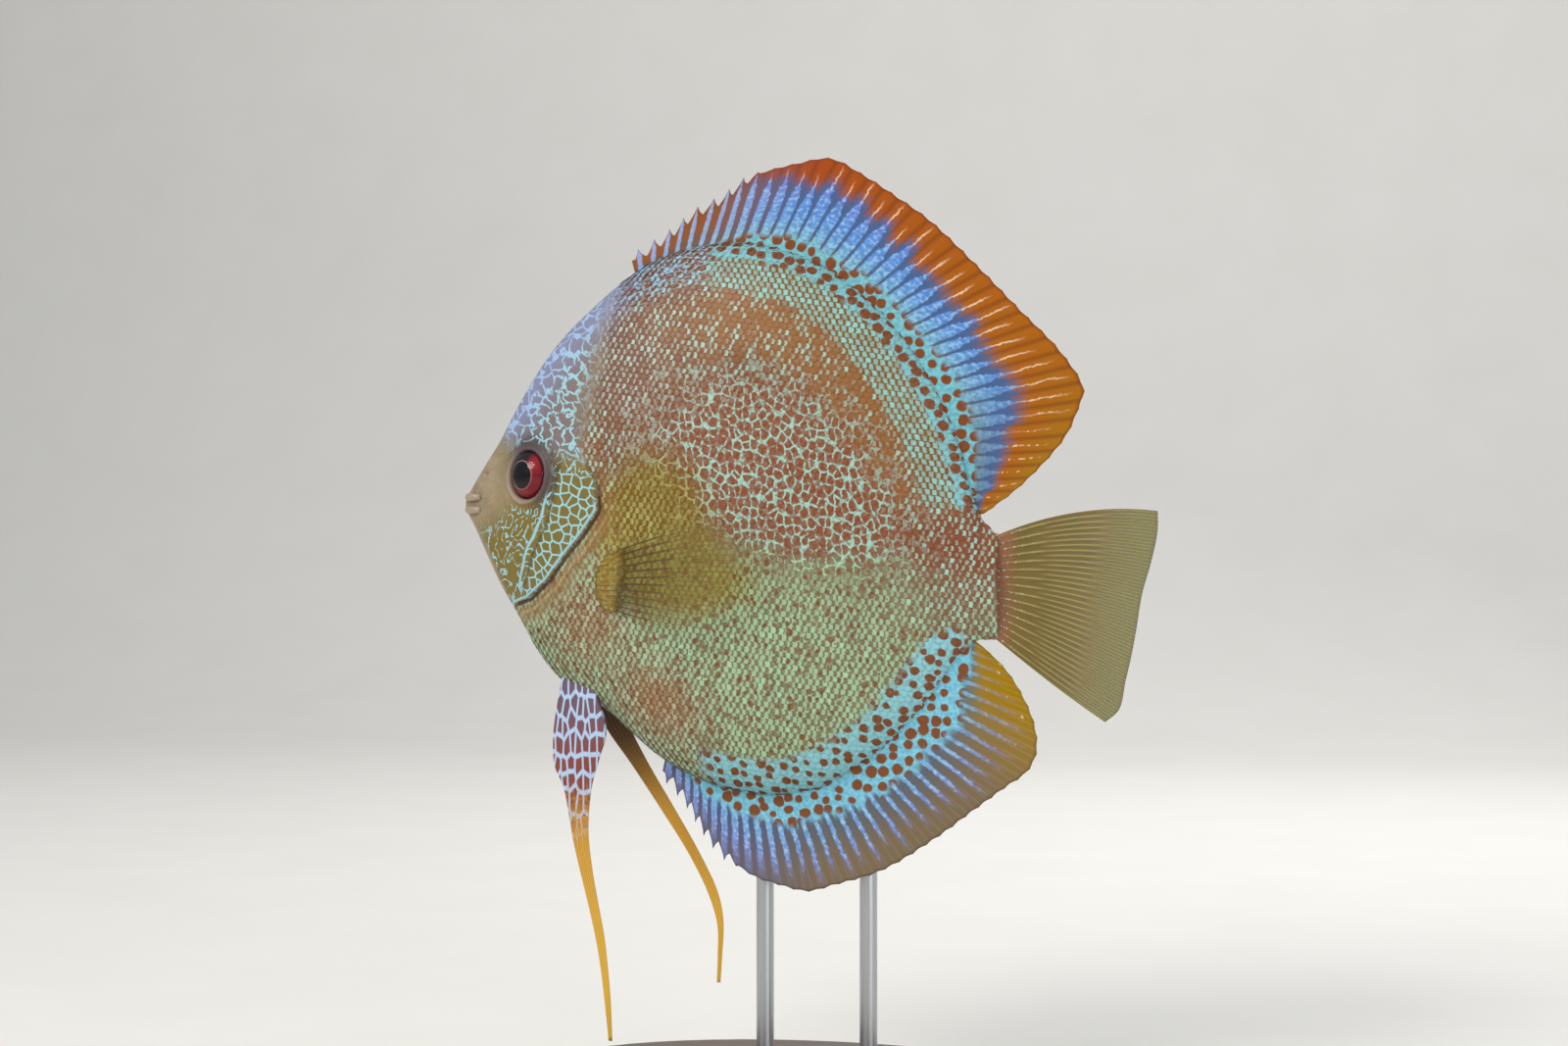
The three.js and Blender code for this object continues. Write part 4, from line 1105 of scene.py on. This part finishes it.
def dorsal_finish():
    """Spotted turquoise root, blue ray stripes and orange margin."""
    fin = Finish("dorsal_paint")
    ray, reach, off_ray, cloud, fine = fin_place(fin)
    near, chance = fin_spots(fin, 3.0)
    each = ray_chance(fin, ray)
    share = ray * (1 / DORSAL_RAYS)
    rear = share.between(0.68, 0.90)
    front = share.between(0.32, 0.12)
    web = fin.mix(reach.between(0.15, 0.4), "#5f5a50", "#46608c")
    web = fin.mix(front, web, fin.mix(reach.between(0.2, 0.6), "#6f5a50", "#8c5228"))
    # A blue stripe stands on each ray and narrows to its end, where the orange margin starts.
    end = 0.99 - 0.48 * share + 0.14 * (each - 0.5) + 0.24 * (fine - 0.5) + 0.2 * front
    width = 0.40 - 0.06 * reach + 0.22 * (fine - 0.5) - 0.20 * front
    taper = (end - reach).between(0.0, 0.30)
    stripe = off_ray.between((width + 0.07) * taper, (width - 0.06) * taper) * taper.between(0.0, 0.15)
    speckle = fin.noise(fin.joined(ray * 3.0, reach * 26.0), 1.0, 1.0)
    blue = fin.coats(
        fin.mix(reach.between(0.12, 0.5), "#7fbccb", "#5f8fd6"), (reach.between(0.5, 0.8) * 0.8, "#7a7fd6"),
        (speckle.between(0.48, 0.66) * 0.6, "#a3d0ea"), (speckle.between(0.48, 0.34) * 0.45, "#4a6ea6"),
        (front * 0.6, "#a2b6d4"), (rear * 0.5, "#6d8ba0"))
    orange = fin.coats(
        fin.mix(share.between(0.2, 0.7), "#a2440c", "#a85e06"),
        (rear * reach.between(0.5, 1.0), "#a06c08"), (off_ray.between(0.25, 0.5) * 0.5, "#6e340a"))
    margin = (reach - end).between(-0.16, 0.03) * (1.0 - 0.6 * front)
    wavy = (ray + 0.5 * (cloud - 0.5) + 0.25 * (fine - 0.5)).off_line()
    streak = wavy.between(0.085, 0.02) * (reach - end).between(-0.10, 0.0)
    streak = streak * (reach - 0.2 * each).between(0.84, 0.68)
    dash = fin.noise(fin.joined(ray * 1.0, reach * 22.0), 1.0, 1.0).between(0.5, 0.62)
    streak = streak * (1.0 - rear * (1.0 - dash))
    root = (reach + 0.10 * (cloud - 0.5) + 0.05 * (each - 0.5) + 0.06 * front).between(0.25, 0.17)
    turquoise = fin.mix(fine.between(0.4, 0.6), "#7cc3cc", "#69aebc")
    spotted = fin.mix(round_spot(near, 0.31 + 0.15 * chance), turquoise, "#7e4520")
    colour = fin.coats(
        web, (margin, orange), (stripe * (0.95 - 0.35 * rear), blue), (streak * 0.8, "#ecd0b0"),
        (root, spotted), (reach.between(0.965, 0.99) * 0.35, "#7a2a0c"))
    return fin.surface({
        "Base Color": colour, "Roughness": 0.5 + 0.2 * fine, "Specular IOR Level": 0.15,
        "Normal": fin.bump(fine + 0.4 * off_ray, 0.00012, 0.5),
    })


dorsal = plate("dorsal_membrane", mid_fin(DORSAL_ROOT, DORSAL_EDGE, DORSAL_RAYS, DORSAL_SPINES),
               fin_half(DORSAL_RAYS, FIN_ROOT_HALF), DORSAL_RAYS * RAY_COLUMNS, FIN_ROWS,
               dorsal_finish(), DORSAL_RAYS)
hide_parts("dorsal_fin")

# Anal fin.
# The same membrane over rays below the body: eight spines, then soft rays. Painted turquoise
# with large brown spots at the root, fine blue ray lines, an olive margin and a gold lobe.
ANAL_RAYS = 37
ANAL_SPINES = 8
ANAL_ROOT = [
    (-31, 80.6), (-26, 77.2), (-17.4, 73.6), (-7.4, 72), (2, 73.6), (12.8, 79.2),
    (21.4, 86.6), (29, 95.4), (34.4, 103), (37.6, 106.3)]
ANAL_EDGE = [
    (-32.6, 74.6), (-27.6, 69), (-20.2, 58.7), (-11.5, 52), (-4.9, 49.9), (1.7, 48.7),
    (7.5, 50.2), (18.5, 53.8), (30.5, 61.2), (38.5, 67.2), (45.9, 72.7), (51, 76.5),
    (53, 80.6), (52.7, 86.4), (50.1, 93), (46.2, 99), (41.4, 103.6)]


def anal_finish():
    """Spotted turquoise root, wavy blue ray lines, olive margin and gold lobe."""
    fin = Finish("anal_paint")
    ray, reach, off_ray, cloud, fine = fin_place(fin)
    near, chance = fin_spots(fin, 3.0)
    each = ray_chance(fin, ray)
    share = ray * (1 / ANAL_RAYS)
    rear = share.between(0.66, 0.9)
    front = share.between(0.42, 0.15)
    web = fin.mix(reach.between(0.3, 0.9), "#586270", "#7c6a4c")
    web = fin.mix(rear, web, fin.mix(reach.between(0.25, 0.55), "#4f6f74", "#9c7808"))
    web = fin.mix(front * 0.7, web, "#4c5680")
    # A wavy blue line on each ray fades toward the olive margin and the gold rear lobe.
    wavy = (ray + 0.35 * (cloud - 0.5) + 0.3 * (fine - 0.5)).off_line()
    width = 0.20 + 0.14 * front - 0.10 * reach
    line = wavy.between(width + 0.07, width - 0.05) * (reach - 0.16 * each).between(0.88 + 0.1 * front, 0.55)
    line = line * (1.0 - 0.8 * rear * reach.between(0.3, 0.5))
    speckle = fin.noise(fin.joined(ray * 3.0, reach * 20.0), 1.0, 1.0)
    blue = fin.coats(
        fin.mix(reach.between(0.3, 0.8), "#78b4e0", "#7f92dc"),
        (speckle.between(0.48, 0.66) * 0.6, "#b4dcf2"), (speckle.between(0.48, 0.34) * 0.4, "#4c70ac"))
    turquoise = fin.mix(fine.between(0.4, 0.6), "#86ccdc", "#6fb4d0")
    size = 0.26 + 0.20 * chance - 0.25 * (reach - 0.25).most(0.0)
    spotted = fin.mix(round_spot(near, size), turquoise, "#7e4c2a")
    root = (reach + 0.14 * (cloud - 0.5) + 0.08 * (each - 0.5) + 0.05 * rear).between(0.44, 0.32)
    grain = fin.noise(fin.joined(ray * 1.0, reach * 16.0), 1.0, 1.0).between(0.62, 0.70)
    dots = grain * off_ray.between(0.16, 0.08) * rear * reach.between(0.5, 0.6)
    thin = (ray * 2.0).off_line().between(0.16, 0.06) * reach.between(0.6, 0.85)
    colour = fin.coats(
        web, (line * 0.9, blue), (root, spotted), (dots * 0.8, "#d8c48a"),
        (thin * 0.35, fin.mix(rear, "#8d7a86", "#c29a2c")), (reach.between(0.965, 0.99) * 0.2, "#3c2e1a"))
    return fin.surface({
        "Base Color": colour, "Roughness": 0.5 + 0.2 * fine, "Specular IOR Level": 0.15,
        "Normal": fin.bump(fine + 0.4 * off_ray, 0.00012, 0.5),
    })


anal = plate("anal_membrane", mid_fin(ANAL_ROOT, ANAL_EDGE, ANAL_RAYS, ANAL_SPINES),
             fin_half(ANAL_RAYS, FIN_ROOT_HALF), ANAL_RAYS * RAY_COLUMNS, FIN_ROWS,
             anal_finish(), ANAL_RAYS)
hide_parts("anal_fin")

# Tail fin.
# A clear olive fan on the end of the tail stalk, cast in tinted resin. Its sixteen rays fork
# twice toward the edge, and its root is fleshy and brown.
TAIL_COLUMNS = 16
TAIL_ROWS = 48
TAIL_BOW = (2.7, -0.6)
TAIL_INSET = 0.2
TAIL_SHEATH = 0.3
TAIL_WEB = 0.18
TAIL_RIDGE = 0.3
TAIL_JOINTS = 34
TAIL_RAYS = 16
TAIL_ROOT = [(42.4, 127.4), (42.4, 117.4), (42.4, 107)]
TAIL_EDGE = [
    (79.5, 133.6), (79.4, 129), (78, 122.3), (76.2, 115.8), (74.9, 107.5), (73.9, 102),
    (72.7, 96.8), (71.2, 90.4), (68.2, 87.6)]


def spread(first, last, run, share, by_length=True):
    """Places a share of the way from one path to another."""
    return first(run, by_length) * (1 - share[..., None]) + last(run, by_length) * share[..., None]


def bow(reach, share, heights):
    """How far the middle of a fan's rays is bowed up, from its first ray to its last."""
    return 4 * reach * (1 - reach) * (heights[0] + (heights[1] - heights[0]) * share)


def tail_middle(s, r):
    """Middle surface of the tail fan, bowed and gently waved."""
    place = spread(smooth_path(TAIL_ROOT), smooth_path(TAIL_EDGE), s, r)
    place[..., 2] += bow(r, s, TAIL_BOW)
    place[..., 1] += FIN_WAVE * r * r * np.sin(5 * s + 1)
    return place


def tail_half(s, r):
    """Half the thickness of the tail fin, with rays that fork in two and in two again."""
    sheath = (FIN_ROOT_HALF - TAIL_INSET) * np.clip(1 - r / TAIL_SHEATH, 0, 1) ** SHEATH_HOLLOW
    ray = s * TAIL_RAYS
    first, second = step(0.3, 0.45, r), step(0.62, 0.78, r)
    rays = ridge(ray, 4) * (1 - first) + ridge(2 * ray + 0.5, 3) * first * (1 - second)
    rays += ridge(4 * ray, 2) * second * 0.7
    beads = 1 + 0.1 * np.cos(2 * math.pi * TAIL_JOINTS * r)
    return sheath + TAIL_WEB - 0.08 * r + TAIL_RIDGE * rays * (1 - 0.6 * r) * beads


def tail_finish():
    """Clear olive resin with light rays that fork with the ridges."""
    fin = Finish("tail_resin")
    ray, reach, off_ray, cloud, fine = fin_place(fin)
    fork = 0.5 - (ray * 2.0).off_line()
    twig = 0.5 - (ray * 4.0 + 0.5).off_line()
    first, second = reach.between(0.3, 0.45), reach.between(0.62, 0.78)
    line = off_ray.between(0.16, 0.05) * (1.0 - first)
    line = line.most(fork.between(0.22, 0.10) * first * (1.0 - second))
    line = line.most(twig.between(0.3, 0.12) * second * 0.7)
    grain = fin.noise(fin.joined(ray * 3.0, reach * 60.0), 1.0, 2.0).between(0.52, 0.66)
    dash = grain * off_ray.between(0.2, 0.1) * reach.between(0.34, 0.16)
    colour = fin.coats(
        fin.mix(cloud.between(0.3, 0.7), "#6e5a14", "#78601e"), (reach.between(0.6, 1.0) * 0.6, "#6f7434"),
        (line * 0.7, "#b0a458"), (reach.between(0.22, 0.08), "#96603c"), (dash * 0.8, "#d5dcc8"),
        (reach.between(0.975, 0.99) * 0.2, "#3f3a20"))
    return fin.surface({
        "Base Color": colour, "Roughness": 0.35 + 0.2 * fine,
        "Alpha": 0.88 - 0.24 * reach.between(0.2, 0.9) * (1.0 - 0.8 * line),
        "Normal": fin.bump(fine + 0.6 * line, 0.0001, 0.5),
    })


tail = plate("tail_membrane", tail_middle, tail_half, TAIL_RAYS * TAIL_COLUMNS, TAIL_ROWS,
             tail_finish(), TAIL_RAYS)
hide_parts("tail_fin")

# Pectoral fins.
# A clear cupped fan on a fleshy yellow lobe behind each gill cover, its rays dark at the root.
# Cast very thin in clear resin with raised rays, painted, and set into the flank.
PECTORAL_COLUMNS = 12
PECTORAL_ROWS = 40
LOBE_HALF = 1.7
LOBE_REACH = 0.15
PECTORAL_BOW = (1.4, -0.7)
PECTORAL_CUP = 1.2
PECTORAL_WEB = 0.14
PECTORAL_RIDGE = 0.22
PECTORAL_RAYS = 12
PECTORAL_ROOT = [(-42.2, -13.4, 123.6), (-42.8, -13.2, 118), (-42.4, -12.7, 112)]
PECTORAL_EDGE = [
    (-14.4, -22.5, 130.6), (-9.4, -23.4, 127), (-9, -23.4, 121.7), (-12, -22.4, 115.7),
    (-16.5, -21, 110.8), (-21.8, -19.6, 108)]


def pectoral_middle(side):
    """Middle surface of the fan, cupped away from the flank; the far one is its mirror."""
    def middle(s, r):
        place = spread(smooth_path(PECTORAL_ROOT), smooth_path(PECTORAL_EDGE), s, r)
        place[..., 2] += bow(r, s, PECTORAL_BOW)
        place[..., 1] -= PECTORAL_CUP * np.sin(math.pi * r)
        place[..., 1] *= -side
        return place
    return middle


def pectoral_half(s, r):
    """Half the thickness: the round lobe at the root, the web and rays that fork once."""
    lobe = LOBE_HALF * bell(r, LOBE_REACH) * np.sin(math.pi * (0.1 + 0.8 * s))
    ray = s * PECTORAL_RAYS
    fork = step(0.5, 0.65, r)
    rays = ridge(ray, 4) * (1 - fork) + ridge(2 * ray + 0.5, 3) * fork
    return lobe + PECTORAL_WEB - 0.05 * r + PECTORAL_RIDGE * rays * (1 - 0.6 * r)


def pectoral_finish():
    """Nearly clear yellow resin, dark rays and a fleshy yellow lobe."""
    fin = Finish("pectoral_resin")
    ray, reach, off_ray, cloud, fine = fin_place(fin)
    near, _ = fin_spots(fin, 1.6)
    fork = reach.between(0.5, 0.65)
    twig = (0.5 - (ray * 2.0).off_line()).between(0.24, 0.10)
    line = (off_ray.between(0.20, 0.06) * (1.0 - fork)).most(twig * fork * 0.8)
    ray_colour = fin.mix(reach.between(0.3, 0.9), "#33200a", "#6a5018")
    lobe = (reach + 0.05 * (cloud - 0.5)).between(0.20, 0.12)
    flesh = fin.mix(fine.between(0.4, 0.7), "#7f6010", "#a08420")
    flesh = fin.mix((near + 0.4 * fine).between(0.50, 0.32) * 0.5, flesh, "#8fae7c")
    colour = fin.coats(fin.mix(reach, "#80600e", "#8f8034"), (line * 0.85, ray_colour), (lobe, flesh))
    clear = (0.08 + 0.70 * line * (1.0 - 0.65 * reach)).most(lobe).most(reach.between(0.97, 0.99) * 0.3)
    return fin.surface({
        "Base Color": colour, "Roughness": 0.32 + 0.2 * fine, "Alpha": clear,
        "Normal": fin.bump(fine + 0.5 * line, 0.0001, 0.5),
    })


pectoral_resin = pectoral_finish()
for side, word in ((NEAR, "left"), (FAR, "right")):
    pectoral = plate("pectoral_membrane_" + word, pectoral_middle(side), pectoral_half,
                     PECTORAL_RAYS * PECTORAL_COLUMNS, PECTORAL_ROWS, pectoral_resin, PECTORAL_RAYS)
    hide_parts("pectoral_fin_" + word)

# Pelvic fins.
# Two narrow fins under the throat, drawn out into long threads: net-painted above, fading
# to clear yellow. The left one is half spread and the right one folded and swept back.
PELVIC_COLUMNS = 10
PELVIC_ROWS = 90
PELVIC_NET = 2.2
PELVIC_ROOT_HALF = 1.1
PELVIC_RAYS = 6
PELVIC_LINES = {
    "left": (
        [(-54.4, -3.6, 97), (-55.6, -4.4, 90.6), (-56.7, -4.8, 83), (-56.4, -5.2, 76), (-54.2, -5.4, 71),
         (-51.8, -5.4, 58.6), (-50.3, -5.2, 52), (-48.6, -5, 45.2), (-46.8, -5, 37.5),
         (-45.6, -5, 30.8), (-44.6, -5, 23.1), (-43.6, -5, 13.9)],
        [(-48.6, -4.4, 97), (-45.6, -6.2, 90.6), (-43.8, -6.6, 84), (-45.6, -6, 77.6), (-47.4, -5.6, 71.6),
         (-48.4, -5.2, 61.6), (-47.6, -5, 53), (-46.2, -5, 45.2), (-44.7, -5, 37.5),
         (-43.9, -5, 30.8), (-43.2, -5, 23.1), (-42.8, -5, 13.9)]),
    "right": (
        [(-52, 3.8, 96), (-48.4, 6.2, 85), (-42, 7.4, 75.4), (-34.8, 7.8, 64.8), (-28.3, 8, 54.8),
         (-23.8, 8, 46), (-21.7, 8, 39), (-21.6, 8, 32), (-21.8, 8, 25.9)],
        [(-46, 4.6, 96), (-43.2, 6.6, 86), (-38.6, 7.4, 76.6), (-32, 7.8, 65.6), (-26, 8, 55.4),
         (-21.6, 8, 46.4), (-20.3, 8, 40), (-20.6, 8, 32), (-21, 8, 25.9)]),
}


def pelvic_finish(name, netted):
    """Pale blue net over red brown, or plain brown, fading to yellow."""
    fin = Finish(name)
    _, reach, off_ray, _, fine = fin_place(fin)
    yellow = fin.mix(reach.between(0.3, 0.9), "#c48a14", "#dcaa18")
    yellow = fin.mix(off_ray.between(0.2, 0.06) * 0.4, yellow, "#f0d27a")
    if netted:
        flat = fin.stretched(side_place(fin), (1.3, 0.5, 1.0))
        edge = fin.cells(flat, PELVIC_NET, 0.7, "DISTANCE_TO_EDGE")["Distance"]
        cell = fin.mix(reach.between(0.05, 0.30), "#6a5064", "#85392c")
        net = fin.mix(edge.between(0.17, 0.08), cell, "#b2cbe8")
        fade = reach + 0.2 * (fine - 0.5) + 0.08 * off_ray
        colour = fin.mix(fade.between(0.36, 0.50), net, yellow)
    else:
        colour = fin.mix(reach.between(0.12, 0.4), "#573208", yellow)
    return fin.surface({
        "Base Color": colour, "Roughness": 0.38 + 0.2 * fine, "Coat Weight": 0.15,
        "Normal": fin.bump(fine + 0.5 * off_ray, 0.00012, 0.5),
    })


for word, (front_line, rear_line) in PELVIC_LINES.items():
    front_path, rear_path = smooth_path(front_line), smooth_path(rear_line)
    pelvic = plate("pelvic_membrane_" + word, lambda s, r: spread(front_path, rear_path, r, s, False),
                   fin_half(PELVIC_RAYS, PELVIC_ROOT_HALF, web=0.2, edge=0.16, rise=0.2, joints=40),
                   PELVIC_RAYS * PELVIC_COLUMNS, PELVIC_ROWS,
                   pelvic_finish("pelvic_paint_" + word, word == "left"), PELVIC_RAYS)
    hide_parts("pelvic_fin_" + word)

# Stand.
# An oval plinth turned from dark stained wood under a satin varnish, and two brushed steel
# rods set in it, which carry the fish by its lower right flank. They keep the solids' shapes.
def wood_finish():
    """Dark stained wood: long grain and fine pores under a satin varnish."""
    wood = Finish("dark_wood")
    spot = wood.place()
    grain = wood.noise(wood.stretched(spot, (0.012, 0.16, 0.16)), 1.0, 5.0, 0.6)
    pore = wood.noise(wood.stretched(spot, (0.08, 1.6, 1.6)), 1.0, 2.0).between(0.56, 0.68)
    colour = wood.mix(grain.between(0.35, 0.65), "#3a2417", "#5a3a24")
    return wood.surface({
        "Base Color": wood.mix(pore * 0.6, colour, "#1d120c"), "Roughness": 0.38 + 0.2 * grain,
        "Coat Weight": 0.3, "Coat Roughness": 0.15, "Normal": wood.bump(grain - pore * 0.5, 0.0002, 0.4),
    })


def steel_finish():
    """Steel brushed along the rods."""
    steel = Finish("brushed_steel")
    brush = steel.noise(steel.stretched(steel.place(), (3.0, 3.0, 0.05)), 1.0, 3.0)
    return steel.surface({
        "Base Color": steel.mix(brush, "#a9abad", "#c9cbcd"), "Metallic": 1.0,
        "Roughness": 0.22 + 0.18 * brush, "Normal": steel.bump(brush, 0.00005, 0.4),
    })


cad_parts["stand_base"].material_slots[0].material = wood_finish()
rod_steel = steel_finish()
for rod in ("stand_rod_front", "stand_rod_rear"):
    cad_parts[rod].material_slots[0].material = rod_steel
